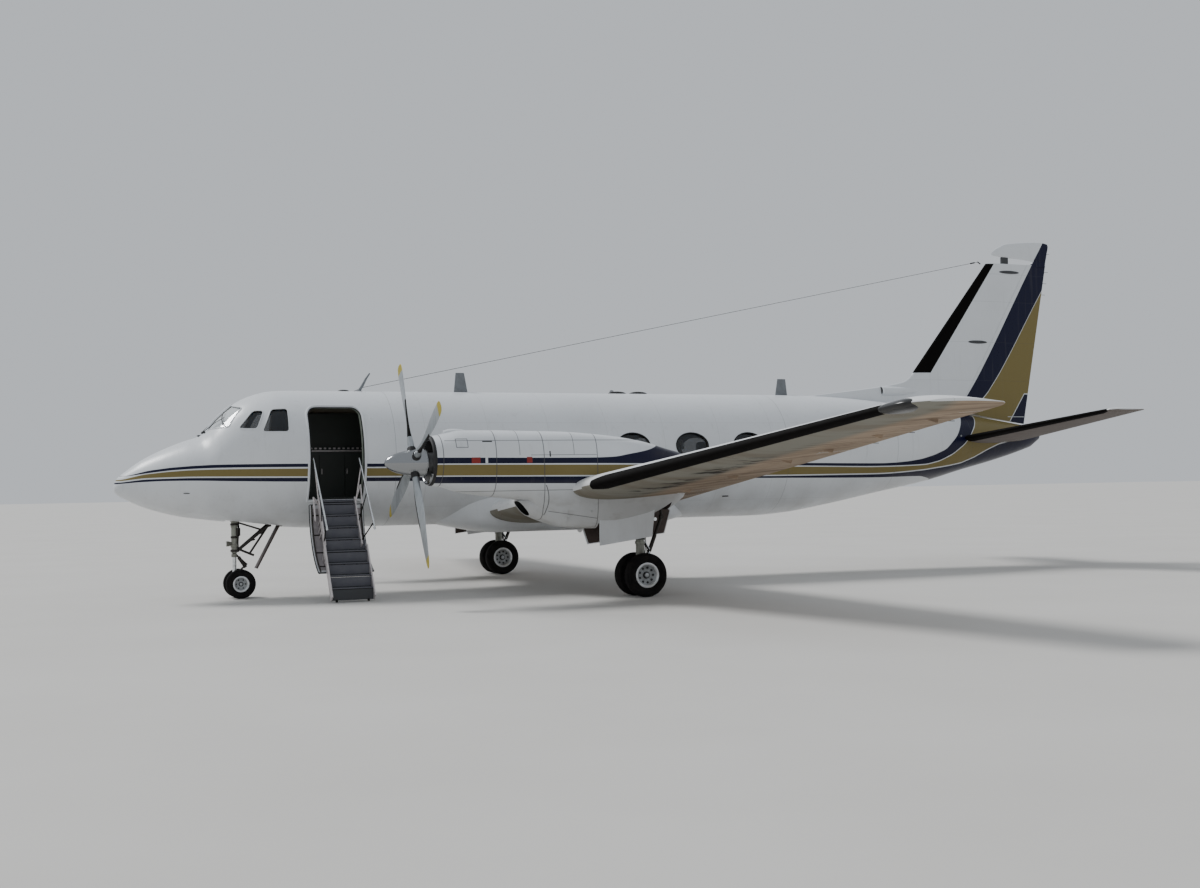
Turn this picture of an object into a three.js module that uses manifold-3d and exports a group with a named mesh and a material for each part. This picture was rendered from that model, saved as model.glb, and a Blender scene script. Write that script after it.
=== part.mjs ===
// A twin turboprop business plane, parked on its gear with its airstair down.
// Millimetres. Stations run aft from the nose tip, y is to starboard and z is up from the ground.

import * as THREE from "three";
import { mergeVertices } from "three/addons/utils/BufferGeometryUtils.js";
import Module from "manifold-3d";

const wasm = await Module();
wasm.setup();

// Whole aeroplane
const LENGTH = 19430;
const HEIGHT = 6940;
const HALF_SPAN = 11960;
const GAP = 0.3;
const GEAR_TRACK = 7370;

// Fuselage: station, top, bottom, half width
const FUSELAGE = [
  [0, 1950, 1870, 40],
  [60, 2070, 1795, 150],
  [200, 2190, 1710, 290],
  [450, 2370, 1590, 460],
  [800, 2550, 1475, 640],
  [1120, 2680, 1400, 770],
  [1410, 2780, 1358, 865],
  [1660, 3060, 1325, 935],
  [2020, 3360, 1285, 1020],
  [2300, 3480, 1250, 1080],
  [2600, 3545, 1215, 1135],
  [3000, 3555, 1180, 1175],
  [3400, 3555, 1165, 1195],
  [11800, 3555, 1165, 1195],
  [12600, 3553, 1210, 1185],
  [13500, 3535, 1340, 1120],
  [14780, 3450, 1570, 960],
  [16070, 3310, 1800, 740],
  [16840, 3215, 1990, 600],
  [17630, 3100, 2170, 450],
  [18360, 2990, 2360, 300],
  [18940, 2890, 2560, 140],
  [19010, 2800, 2640, 70],
];
const FUSELAGE_POINTS = 20;
const FUSELAGE_END = 19010;
const WALL = 80;
const NOSE_WALL = 60;
const TAIL_WALL = 25;
const TAIL_HOLLOW_END = 18300;
const GLASS_THICK = 14;
const RADOME_JOINT = 1000;
const FRONT_JOINT = 4500;
const TAIL_JOINT = 12150;
const NOSE_FRAME = 1760;
const FLOOR_TOP = 1600;
const FLOOR_THICK = 35;
const AFT_BULKHEAD = 12091;
const BULKHEAD = { front: 2950, thick: 25, doorHalf: 300, doorTop: 3300 };
const DASH = {
  shelf: 2760, top: 2790, front: 1640, rear: 1990, foot: 2330, thick: 80, half: 1000, inset: 25,
  pedestalHalf: 130, pedestalRear: 2420, pedestalTop: 2360,
};
const NOSE_BAY = { front: 1780, rear: 2740, half: 209.8, ceiling: 1500.3 };

// Doorway and windows
const DOOR = { front: 3045, rear: 3955, sill: 1660, top: 3225, corner: 160 };
const CABIN_WINDOW = { first: 6540, pitch: 1190, count: 5, z: 2520, width: 660, height: 480 };
const CABIN_GLASS = { margin: 400, rise: 320, thick: 12 };
const COCKPIT_GLASS = { front: 1300, rear: 2850, low: 2765, high: 3330 };
const SIDE_WINDOWS = [
  [[1920, 2862], [2213, 2848], [2352, 3168], [2180, 3168]],
  [[2290, 2800], [2722, 2797], [2735, 3200], [2466, 3190]],
];
const WINDSCREEN_PANE = [[55, 2870], [700, 2890], [520, 3230], [55, 3290]];
const WINDSCREEN_REAR = 2300;

// How far a cutting tool runs: past the piece it cuts, out from the centre, in to the centre, down
const OVER = 50;
const TOOL = { out: 1400, in: 600, low: 900 };

// Seats
const CABIN_SEATS = { rows: 6, first: 5130, pitch: 1190, top: 2660, railHalf: 40, railTop: 30 };
const PILOT_SEAT = { x: 2560, y: 450, width: 460, top: 2780 };
const SEAT = { front: 220, rear: 160, low: 1920, high: 2050, fold: 90, lean: 290, back: 110, leg: 130 };

// Wing, laid out flat and then raised by its dihedral
const DIHEDRAL = THREE.MathUtils.degToRad(6.5);
const WING_ROOT_Z = 1290;
const WING_HALF = HALF_SPAN / Math.cos(DIHEDRAL);
const WING = {
  rootLead: 6110, rootChord: 3390, rootThick: 0.18,
  tipLead: 7480, tipChord: 1350, tipThick: 0.12,
  start: 900, camber: 0.02,
};
// Distance in from the tip, chord and thickness as shares of the full section
const WING_TIP = [[330, 1, 1], [110, 0.94, 0.8], [0, 0.72, 0.25]];
const TAILPLANE_TIP = [[90, 1, 1], [0, 0.8, 0.4]];
const TIP_SWEEP = 0.6;
// Fairing below the wing: station, bottom, half width
const FAIRING = [
  [5400, 1190, 420], [5900, 1090, 860], [6500, 1000, 1010], [8800, 1000, 1010], [9700, 1090, 860],
  [10300, 1190, 420],
];
const FAIRING_SHAPE = { top: 1800, power: 4 };
// Trailing surfaces: name, first and last span station, hinge as a fraction of the chord
const WING_SURFACES = [
  ["flap_inboard", 1300, 3400, 0.7],
  ["flap_outboard", 4039, 8290, 0.7],
  ["aileron", 8330, 11450, 0.75],
];
const SURFACE_GAP = 12;
const FLAP_ROOM = 10;
const JACK_PAD = { x: 7500, y: 2688, face: 1390, top: 1450, radius: 38, sides: 16 };
const HINGE_BRACKET = { places: [0.12, 0.5, 0.88], half: 20, rise: 12, root: 4, finLow: 300 };
const CUT_DEPTH = 900;
const WING_GAP = 0.5;
const EDGE_THICK = 6;

// Nacelle: station, top, bottom, half width, squareness
const NACELLE_Y = GEAR_TRACK / 2;
const NACELLE = [
  [4380, 2605, 1855, 375, 2],
  [4550, 2640, 1830, 400, 2.1],
  [4820, 2700, 1745, 420, 2.3],
  [5430, 2700, 1650, 425, 2.5],
  [5860, 2690, 1590, 425, 2.6],
  [6130, 2685, 1330, 425, 2.8],
  [6510, 2675, 1160, 425, 3.4],
  [7210, 2620, 1120, 425, 4],
  [7820, 2530, 1220, 420, 4],
  [8370, 2385, 1420, 375, 3.4],
  [8650, 2310, 1590, 250, 2.6],
  [8710, 2200, 1640, 120, 2.2],
];
const NACELLE_POINTS = 20;
const NACELLE_WALL = 60;
const FIREWALL = 6300;
const ENGINE_BAY = { front: 4480, floor: 1620 };
const INTAKE = { radius: 300, z: 2230, rear: 4500 };
const ENGINE = { front: 4700, z: 2228, radius: 335, gearCase: 150 };
const WHEEL_WELL = { front: 7040, rear: 8330, half: 330, ceiling: 1700 };

// Propeller
const PROP = {
  station: 4140, z: 2205, radius: 1755, blades: 4, hubRadius: 120, hubHalf: 120,
};
const SPINNER = { tip: 3690, back: 4330, radius: 212, wall: 12, bluntness: 2.1 };
// Radius from the hub, half chord, half thickness, twist out of the disc in degrees
const BLADE_ROWS = [
  [90, 52, 52, 22], [330, 55, 50, 22], [640, 110, 24, 16], [1200, 130, 13, 3],
  [PROP.radius, 80, 6, -6],
];
const BLADE_SIDES = 8;
const BLADE_ANGLE = THREE.MathUtils.degToRad(27);

// Landing gear
const MAIN_WHEEL = { x: 7900, radius: 352.5, half: 92, seat: 192, hub: 205, axle: 38 };
const NOSE_WHEEL = { x: 2030, radius: 247.5, half: 66, seat: 125, hub: 170, axle: 24 };
const WHEEL_SIDES = 16;
const STEER_X = 1950;
const STEER_Z = 760;
// Shares of a wheel's half width and of its tyre's height
const TYRE = { bulge: 0.4, seat: 0.75, crown: 0.5 };
const RIM = { width: 0.85, dish: 0.55, hub: 0.3, edge: 0.8 };
// Bars of the main leg in its own plane: start and end as distance aft and height, radius, sides
const MAIN_LEG = [
  [0, 412.5, 0, 820, 52, 10], [0, 640, 0, 1900, 70, 10], [50, 450, 392, 1290, 26, 8],
  [392, 1270, 340, 1760, 22, 8], [20, 520, 170, 740, 16, 6], [170, 740, 20, 900, 16, 6],
];
const MAIN_TRUNNION = { z: 1400, half: 329.7, radius: 45 };
const LEG_TOP = 1680;
// Bars of the nose leg: start and end as distance aft of the leg, y and height, radius, sides
const NOSE_LEG = [
  [0, 0, STEER_Z, 0, 0, 1500, 50, 10], [0, -209.5, 1460, 0, 209.5, 1460, 32, 8],
  [30, 0, 800, 730, 120, 1370, 20, 8], [30, 0, 800, 730, -120, 1370, 20, 8],
  [730, -209.5, 1370, 730, 209.5, 1370, 22, 8], [0, 0, 930, -90, 0, 930, 42, 8],
];
const FORK = { radius: 34, collar: 52, collarLong: 60, toe: 70, half: 36, rise: 32 };
const FORK_LINK = { top: 725, knee: 575, foot: 420, reach: 215, radius: 18 };
// Gear doors hang at this distance from their nacelle's centre, with this half thickness
const GEAR_DOOR = { offset: 352, half: 12 };
const OUTER_DOOR = [[7055, 1400], [8010, 1400], [7960, 975], [7050, 855]];
const INNER_DOOR = [
  [7042, 1400], [8330, 1490], [8500, 1470], [8620, 1380], [8500, 995], [7118, 855], [7042, 1087],
];
const NOSE_DOOR = [
  [2300, 500], [2322, 492], [2700, 1205], [2739.7, 1222], [2739.7, 1270], [2680, 1230],
];
const NOSE_DOOR_HALF = 120;

// Tail
const FIN = { rootZ: 3050, topZ: 6430, leadRoot: 15016, leadSlope: 0.8136, thick: 0.075 };
const TAIL_CLEAR = 30;
const HINGE = { x: 18890, z: 6510, slope: 0.601 };
const RUDDER = { bottomZ: 3090, topZ: 6440, trailX: 18670, trailZ: 3090, trailSlope: 0.2005 };
// Fin ridge, rudder horn and the neck below it as outlines of station and height
const DORSAL = [
  [13160, 3500], [13890, 3612], [14990, 3752], [15630, 3880], [15900, 4080], [16300, 3300],
  [13300, 3100],
];
const HORN = [
  [17915, 6640], [17950, 6605], [18340, 6598], [18345, 6475], [19352, 6475], [LENGTH, 6870],
  [19350, HEIGHT], [18850, HEIGHT - 5], [18270, 6868], [17985, 6730],
];
const HORN_NECK = [[18960, 6400], [19310, 6400], [19325, 6490], [18990, 6490]];
const FIN_PLATE = { dorsal: 45, horn: 38, neck: 30 };
const TAIL_DIHEDRAL = THREE.MathUtils.degToRad(7.4);
const TAILPLANE = {
  z: 2580, half: 3885, rootLead: 16450, rootChord: 1900, tipLead: 17600, tipChord: 820,
  thick: 0.105, start: 150, elevatorStart: 560, elevatorEnd: 3760, hinge: 0.62,
};

// Airstair, sloping down and out from the sill
const STAIR = {
  foot: -2180, head: -1060, headZ: 1640, front: 3170, rear: 3800, lowFront: 3160, lowRear: 3880,
  steps: 4, pitch: 235, firstStep: 0.34, depth: 150, thick: 24, riser: 175, end: 60,
};
const CHEEK = { thick: 24, low: -30, high: 90, tuck: 10 };
const STEP = { off: 20, lip: 15 };
const HINGE_ARM = { out: -1120, in: -850, low: 1590, high: 1645 };
const RAIL = {
  front: 3110, rear: 3885, topY: -1105, topZ: 2320, endY: -2140, endZ: 1226, radius: 16, stay: 11,
};
const FOOT = { inset: 70, half: 14, radius: 24, z: 34 };

const paint = (color, roughness = 0.35, metalness = 0) =>
  new THREE.MeshStandardMaterial({ color, roughness, metalness });
const MATERIALS = {
  white: paint(0xdfe3e6),
  dark: paint(0x2b2c2e, 0.7),
  grey: paint(0x8f9498, 0.5),
  steel: paint(0xb9bdc0, 0.35, 0.8),
  polished: paint(0xe3e5e6, 0.15, 1),
  rubber: paint(0x161616, 0.9),
  glass: paint(0x2c3238, 0.08),
  cloth: paint(0x4a5563, 0.95),
  iron: paint(0x5c5f61, 0.6, 0.6),
  tread: paint(0x47494c, 0.9),
};

// Closed geometry and solids
function solidOf(geometry) {
  const bare = geometry.clone();
  bare.deleteAttribute("normal");
  bare.deleteAttribute("uv");
  const merged = mergeVertices(bare, 1e-3);
  const positions = new Float32Array(merged.attributes.position.array);
  const triangles = new Uint32Array(merged.index.array);
  return new wasm.Manifold(
    new wasm.Mesh({ numProp: 3, vertProperties: positions, triVerts: triangles }),
  );
}

function geometryOf(solid) {
  const mesh = solid.getMesh();
  const geometry = new THREE.BufferGeometry();
  geometry.setAttribute("position", new THREE.BufferAttribute(mesh.vertProperties.slice(), 3));
  geometry.setIndex(new THREE.BufferAttribute(mesh.triVerts.slice(), 1));
  return geometry;
}

const joined = (...solids) => solids.reduce((whole, piece) => whole.add(piece));
const cutBy = (solid, ...tools) => tools.reduce((left, tool) => left.subtract(tool), solid);

function placed(geometry, matrix) {
  const moved = geometry.clone().applyMatrix4(matrix);
  if (matrix.determinant() < 0) {
    const index = moved.index.array;
    for (let i = 0; i < index.length; i += 3) {
      [index[i], index[i + 1]] = [index[i + 1], index[i]];
    }
  }
  return moved;
}

const MIRROR = new THREE.Matrix4().makeScale(1, -1, 1);
const mirrored = (solid) => solidOf(placed(geometryOf(solid), MIRROR));
const moveBy = (x, y, z) => new THREE.Matrix4().makeTranslation(x, y, z);

// A closed body through rings of equal point counts
function loft(rings) {
  const count = rings[0].length;
  const positions = rings.flat().flatMap((p) => [p[0], p[1], p[2]]);
  const index = [];
  for (let ring = 0; ring + 1 < rings.length; ring += 1) {
    for (let k = 0; k < count; k += 1) {
      const a = ring * count + k;
      const b = ring * count + ((k + 1) % count);
      index.push(a, b, b + count, a, b + count, a + count);
    }
  }
  for (const ring of [0, rings.length - 1]) {
    const centre = positions.length / 3;
    for (const axis of [0, 1, 2]) {
      const sum = rings[ring].reduce((total, point) => total + point[axis], 0);
      positions.push(sum / count);
    }
    for (let k = 0; k < count; k += 1) {
      const a = ring * count + k;
      const b = ring * count + ((k + 1) % count);
      index.push(...(ring === 0 ? [centre, b, a] : [centre, a, b]));
    }
  }
  const geometry = new THREE.BufferGeometry();
  geometry.setAttribute("position", new THREE.Float32BufferAttribute(positions, 3));
  geometry.setIndex(index);
  return signedVolume(geometry) < 0 ? flipped(geometry) : geometry;
}

function signedVolume(geometry) {
  const position = geometry.attributes.position;
  const index = geometry.index.array;
  const [a, b, c] = [new THREE.Vector3(), new THREE.Vector3(), new THREE.Vector3()];
  let volume = 0;
  for (let i = 0; i < index.length; i += 3) {
    a.fromBufferAttribute(position, index[i]);
    b.fromBufferAttribute(position, index[i + 1]);
    c.fromBufferAttribute(position, index[i + 2]);
    volume += a.dot(b.cross(c)) / 6;
  }
  return volume;
}

function flipped(geometry) {
  const index = geometry.index.array;
  for (let i = 0; i < index.length; i += 3) {
    [index[i], index[i + 1]] = [index[i + 1], index[i]];
  }
  return geometry;
}

const loftSolid = (rings) => solidOf(loft(rings));

function box(x0, x1, y0, y1, z0, z1) {
  const geometry = new THREE.BoxGeometry(x1 - x0, y1 - y0, z1 - z0);
  geometry.translate((x0 + x1) / 2, (y0 + y1) / 2, (z0 + z1) / 2);
  return solidOf(geometry);
}

function rod(from, to, radius, segments = 10) {
  const start = new THREE.Vector3(...from);
  const end = new THREE.Vector3(...to);
  const along = end.clone().sub(start);
  const geometry = new THREE.CylinderGeometry(radius, radius, along.length(), segments);
  const turn = new THREE.Quaternion();
  turn.setFromUnitVectors(new THREE.Vector3(0, 1, 0), along.normalize());
  geometry.applyQuaternion(turn);
  geometry.translate(...start.add(end).multiplyScalar(0.5).toArray());
  return solidOf(geometry);
}

// A side outline of (x, z) points given thickness along y
function sidePlate(outline, y0, y1) {
  const shape = new THREE.Shape(outline.map(([x, z]) => new THREE.Vector2(x, z)));
  return extrudedSide(shape, y0, y1);
}

function extrudedSide(shape, y0, y1, curveSegments = 4) {
  const options = { depth: y1 - y0, bevelEnabled: false, curveSegments };
  const geometry = new THREE.ExtrudeGeometry(shape, options);
  geometry.rotateX(Math.PI / 2);
  geometry.translate(0, y1, 0);
  return solidOf(geometry);
}

// A front outline of (y, z) points given thickness along x
function frontPlate(outline, x0, x1) {
  const shape = new THREE.Shape(outline.map(([y, z]) => new THREE.Vector2(y, z)));
  const geometry = new THREE.ExtrudeGeometry(shape, { depth: x1 - x0, bevelEnabled: false });
  const basis = new THREE.Matrix4().makeBasis(
    new THREE.Vector3(0, 1, 0), new THREE.Vector3(0, 0, 1), new THREE.Vector3(1, 0, 0),
  );
  geometry.applyMatrix4(basis);
  geometry.translate(x0, 0, 0);
  return solidOf(geometry);
}

function lathe(profile, segments, x = 0, y = 0, z = 0) {
  const points = profile.map(([radius, along]) => new THREE.Vector2(radius, along));
  const geometry = new THREE.LatheGeometry(points, segments);
  const bare = geometry.toNonIndexed();
  bare.deleteAttribute("normal");
  bare.deleteAttribute("uv");
  const merged = mergeVertices(bare, 1e-3);
  const kept = withoutSlivers(merged);
  const outward = signedVolume(kept) < 0 ? flipped(kept) : kept;
  outward.translate(x, y, z);
  return solidOf(outward);
}

// Drops the triangles that a lathe profile collapses where it meets its axis
function withoutSlivers(geometry) {
  const old = geometry.index.array;
  const index = [];
  for (let i = 0; i < old.length; i += 3) {
    const [a, b, c] = [old[i], old[i + 1], old[i + 2]];
    if (a !== b && b !== c && c !== a) index.push(a, b, c);
  }
  geometry.setIndex(index);
  return geometry;
}

// A squared ellipse in the plane x = station
function ovalRing(x, top, bottom, half, count, power = 2, y = 0) {
  const middle = (top + bottom) / 2;
  const rise = (top - bottom) / 2;
  const bend = (value) => Math.sign(value) * Math.abs(value) ** (2 / power);
  return Array.from({ length: count }, (_, k) => {
    const angle = (2 * Math.PI * k) / count;
    return [x, y + half * bend(Math.cos(angle)), middle + rise * bend(Math.sin(angle))];
  });
}

function between(table, x) {
  const next = Math.min(Math.max(table.findIndex((row) => row[0] >= x), 1), table.length - 1);
  const [low, high] = [table[next - 1], table[next]];
  const part = (x - low[0]) / (high[0] - low[0]);
  return low.map((value, column) => value + part * (high[column] - value));
}

function stations(table, from, to) {
  const inside = table.map((row) => row[0]).filter((x) => x > from + 1 && x < to - 1);
  return [from, ...inside, to];
}

// The fuselage between two stations, its skin moved out by grow
function fuselage(from, to, grow = 0) {
  return loftSolid(stations(FUSELAGE, from, to).map((x) => {
    const [, top, bottom, half] = between(FUSELAGE, x);
    return ovalRing(x, top + grow, bottom - grow, half + grow, FUSELAGE_POINTS);
  }));
}

const outside = fuselage(0, FUSELAGE_END, GAP);
const inside = fuselage(RADOME_JOINT + NOSE_WALL, TAIL_JOINT + OVER, -WALL - GAP);

function doorway() {
  const { front, rear, sill, top, corner } = DOOR;
  const shape = new THREE.Shape();
  shape.moveTo(front, sill);
  shape.lineTo(rear, sill);
  shape.lineTo(rear, top - corner);
  shape.absarc(rear - corner, top - corner, corner, 0, Math.PI / 2);
  shape.absarc(front + corner, top - corner, corner, Math.PI / 2, Math.PI);
  shape.lineTo(front, sill);
  return extrudedSide(shape, -TOOL.out, -TOOL.in);
}

function windowCutter(x) {
  const shape = new THREE.Shape();
  shape.absellipse(x, CABIN_WINDOW.z, CABIN_WINDOW.width / 2, CABIN_WINDOW.height / 2, 0, 2 * Math.PI);
  return extrudedSide(shape, -TOOL.out, TOOL.out, 7);
}

// The nose ahead of the cockpit and the belly under its floor are closed, so they are solid
function fuselageFront() {
  const { out, low } = TOOL;
  const closedNose = box(0, NOSE_FRAME - GAP, -out, out, low, DASH.shelf - GAP);
  const belly = box(0, FRONT_JOINT + 2 * OVER, -out, out, low, FLOOR_TOP - FLOOR_THICK - GAP);
  const hollow = fuselage(RADOME_JOINT + NOSE_WALL, FRONT_JOINT + OVER, -WALL);
  const cockpit = cutBy(hollow, closedNose, belly);
  const shell = cutBy(fuselage(RADOME_JOINT + GAP, FRONT_JOINT - GAP / 2), cockpit);
  const panes = SIDE_WINDOWS.flatMap((outline) => [
    sidePlate(outline, TOOL.in, out), sidePlate(outline, -out, -TOOL.in),
  ]);
  const screen = frontPlate(WINDSCREEN_PANE, RADOME_JOINT + 2 * OVER, WINDSCREEN_REAR);
  const bay = box(
    NOSE_BAY.front, NOSE_BAY.rear, -NOSE_BAY.half, NOSE_BAY.half, low, NOSE_BAY.ceiling,
  );
  return cutBy(shell, doorway(), ...panes, screen, mirrored(screen), bay);
}

function fuselageCabin() {
  const shell = cutBy(
    fuselage(FRONT_JOINT + GAP / 2, TAIL_JOINT - GAP / 2),
    fuselage(FRONT_JOINT - OVER, TAIL_JOINT + OVER, -WALL),
  );
  const holes = Array.from({ length: CABIN_WINDOW.count }, (_, k) =>
    windowCutter(CABIN_WINDOW.first + k * CABIN_WINDOW.pitch));
  return cutBy(shell, ...holes);
}

const fuselageTail = () => cutBy(
  fuselage(TAIL_JOINT + GAP / 2, FUSELAGE_END),
  fuselage(TAIL_JOINT - OVER, TAIL_HOLLOW_END, -TAIL_WALL),
);

// Pieces inside the cabin
const cabinFloor = () => inside.intersect(
  box(NOSE_FRAME, AFT_BULKHEAD - 1, -TOOL.out, TOOL.out, FLOOR_TOP - FLOOR_THICK, FLOOR_TOP),
);

function cockpitBulkhead() {
  const { front, thick, doorHalf, doorTop } = BULKHEAD;
  const wall = box(front, front + thick, -TOOL.out, TOOL.out, FLOOR_TOP + GAP, HEIGHT).intersect(inside);
  const door = box(front - OVER, front + thick + OVER, -doorHalf, doorHalf, FLOOR_TOP - OVER, doorTop);
  return cutBy(wall, door);
}

const aftBulkhead = () => inside.intersect(
  box(AFT_BULKHEAD, AFT_BULKHEAD + BULKHEAD.thick, -TOOL.out, TOOL.out, TOOL.low, HEIGHT),
);

function instrumentPanel() {
  const { shelf, top, front, rear, foot, thick, half, inset } = DASH;
  const { pedestalHalf, pedestalRear, pedestalTop } = DASH;
  const panel = box(NOSE_FRAME, NOSE_FRAME + thick, -half, half, foot, top);
  const shade = box(front, rear, -half, half, shelf, top);
  const pedestal = box(
    NOSE_FRAME, pedestalRear, -pedestalHalf, pedestalHalf, FLOOR_TOP + GAP, pedestalTop,
  );
  return joined(panel, shade, pedestal).intersect(fuselage(RADOME_JOINT, DOOR.front, -WALL - inset));
}

function seat({ x, y, width, top }) {
  const { front, rear, low, high, fold, lean, back, leg } = SEAT;
  const half = width / 2;
  const side = [
    [x - front, low], [x + rear, low], [x + lean, top], [x + lean - back, top], [x + fold, high],
    [x - front, high],
  ];
  const base = box(x - leg, x + leg, y - half / 2, y + half / 2, FLOOR_TOP + GAP, low + 1);
  return joined(sidePlate(side, y - half, y + half), base);
}

function cabinSeats(y, width) {
  const { rows, first, pitch, top, railHalf, railTop } = CABIN_SEATS;
  const seats = Array.from({ length: rows }, (_, k) => seat({ x: first + k * pitch, y, width, top }));
  const [start, end] = [first - SEAT.leg, first + (rows - 1) * pitch + SEAT.leg];
  const rail = box(start, end, y - railHalf, y + railHalf, FLOOR_TOP + GAP, FLOOR_TOP + railTop);
  return joined(rail, ...seats);
}

function cockpitGlazing() {
  const { front, rear, low, high } = COCKPIT_GLASS;
  const band = inside.intersect(box(front, rear, -TOOL.out, TOOL.out, low, high));
  return cutBy(band, fuselage(front - OVER, rear + OVER, -WALL - GLASS_THICK));
}

function cabinGlazing() {
  const { first, pitch, count, z } = CABIN_WINDOW;
  const { margin, rise, thick } = CABIN_GLASS;
  const [front, rear] = [first - margin, first + (count - 1) * pitch + margin];
  const liner = cutBy(
    fuselage(front, rear, -WALL - GAP),
    fuselage(front - OVER, rear + OVER, -WALL - thick),
  );
  return liner.intersect(box(front, rear, TOOL.in, TOOL.out, z - rise, z + rise));
}

// Wing sections: half thickness at a share of the chord
const foilHalf = (u, thick, chord) => 5 * thick * chord * (0.2969 * Math.sqrt(u) - 0.126 * u
  - 0.3516 * u ** 2 + 0.2843 * u ** 3 - 0.1015 * u ** 4);

function airfoilRing(lead, chord, thick, camber, span) {
  const steps = 10;
  const half = (u) => foilHalf(u, thick, chord) + (EDGE_THICK / 2) * u;
  const line = (u) => 4 * camber * chord * u * (1 - u);
  const cuts = Array.from({ length: steps + 1 }, (_, k) => (1 - Math.cos((Math.PI * k) / steps)) / 2);
  const upper = cuts.slice(1).reverse().map((u) => [lead + u * chord, span, line(u) + half(u)]);
  const lower = cuts.map((u) => [lead + u * chord, span, line(u) - half(u)]);
  return [...upper, ...lower];
}

function wingAt(span) {
  const part = span / WING_HALF;
  const chord = THREE.MathUtils.lerp(WING.rootChord, WING.tipChord, part);
  const lead = THREE.MathUtils.lerp(WING.rootLead, WING.tipLead, part);
  const thick = THREE.MathUtils.lerp(WING.rootThick, WING.tipThick, part);
  return { chord, lead, thick };
}

function wingHinge(span, fraction) {
  const { chord, lead, thick } = wingAt(span);
  const z = 4 * WING.camber * chord * fraction * (1 - fraction);
  const radius = foilHalf(fraction, thick, chord);
  return { x: lead + fraction * chord, z, radius, trail: lead + chord };
}

// A moving surface's section: a round nose about its hinge and a straight taper
function surfaceRing({ x, z, radius, trail }, span, stretch = 1) {
  const nose = Array.from({ length: 9 }, (_, k) => {
    const angle = Math.PI / 2 + (Math.PI * k) / 8;
    return [x + radius * stretch * Math.cos(angle), span, z + radius * Math.sin(angle)];
  });
  return [[trail, span, EDGE_THICK / 2], ...nose, [trail, span, -EDGE_THICK / 2]];
}

// The room that a moving surface needs, less the brackets that carry its hinge
function surfaceCutter(from, to, hingeAt, depth) {
  const ring = (span) => {
    const { x, radius } = hingeAt(span);
    const [front, back] = [x - radius - SURFACE_GAP, x + LENGTH];
    return [[front, span, -depth], [front, span, depth], [back, span, depth], [back, span, -depth]];
  };
  const { places, half, rise, root } = HINGE_BRACKET;
  const [first, last] = [hingeAt(from + SURFACE_GAP), hingeAt(to - SURFACE_GAP)];
  const bracketRing = (span) => {
    const part = (span - from - SURFACE_GAP) / (to - from - 2 * SURFACE_GAP);
    const [x, z, radius] = ["x", "z", "radius"].map((key) =>
      THREE.MathUtils.lerp(first[key], last[key], part));
    const [front, back] = [x - radius - SURFACE_GAP - root, x - radius - GAP];
    return [[front, span, z - rise], [back, span, z - rise], [back, span, z + rise], [front, span, z + rise]];
  };
  const brackets = places.map((part) => {
    const span = THREE.MathUtils.lerp(from, to, part);
    return loftSolid([bracketRing(span - half), bracketRing(span + half)]);
  });
  return cutBy(loftSolid([ring(from), ring(to)]), ...brackets);
}

const raised = (root, angle, geometry) => placed(
  geometry,
  moveBy(0, 0, root).multiply(new THREE.Matrix4().makeRotationX(angle)),
);
const raisedWing = (solid) => solidOf(raised(WING_ROOT_Z, DIHEDRAL, geometryOf(solid)));
const raisedTail = (solid) => solidOf(raised(TAILPLANE.z, TAIL_DIHEDRAL, geometryOf(solid)));

function wingBlank(grow = 0) {
  const rows = [[WING_HALF - WING.start, 1, 1], ...WING_TIP];
  return loftSolid(rows.map(([inward, size, thin]) => {
    const span = WING_HALF - inward;
    const { chord, lead, thick } = wingAt(span);
    const cut = chord * (1 - size) * TIP_SWEEP;
    const ring = airfoilRing(lead + cut, chord * size, thick * thin, WING.camber, span);
    const nose = lead + cut + chord * 0.3;
    return ring.map(([x, y, z], k) => [
      x < nose ? x - grow : x + grow, y, z + (k < ring.length / 2 ? grow : -grow),
    ]);
  }));
}

function fairing(grow = 0) {
  const { top, power } = FAIRING_SHAPE;
  return loftSolid(FAIRING.map(([x, bottom, half]) =>
    ovalRing(x, top, bottom - grow, half + grow, FUSELAGE_POINTS, power)));
}

const wingBodyFairing = () => cutBy(fairing(), outside);

function wing() {
  const cutters = WING_SURFACES.map(([, from, to, fraction]) =>
    surfaceCutter(from, to, (span) => wingHinge(span, fraction), CUT_DEPTH));
  const { x, y, face, top, radius, sides } = JACK_PAD;
  return raisedWing(cutBy(wingBlank(), ...cutters)).add(rod([x, y, face], [x, y, top], radius, sides));
}

function wingSurface([, from, to, fraction], grow = 0) {
  const ring = (span) => {
    const hinge = wingHinge(span, fraction);
    return surfaceRing({ ...hinge, radius: hinge.radius + grow }, span);
  };
  const inset = SURFACE_GAP - grow;
  return raisedWing(loftSolid([ring(from + inset), ring(to - inset)]));
}

// Nacelle, engine and propeller, starboard side
function nacelleBlank(from, to, grow = 0) {
  return loftSolid(stations(NACELLE, from, to).map((x) => {
    const [, top, bottom, half, power] = between(NACELLE, x);
    return ovalRing(x, top + grow, bottom - grow, half + grow, NACELLE_POINTS, power, NACELLE_Y);
  }));
}

const [NACELLE_FRONT, NACELLE_REAR] = [NACELLE[0][0], NACELLE.at(-1)[0]];

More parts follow.
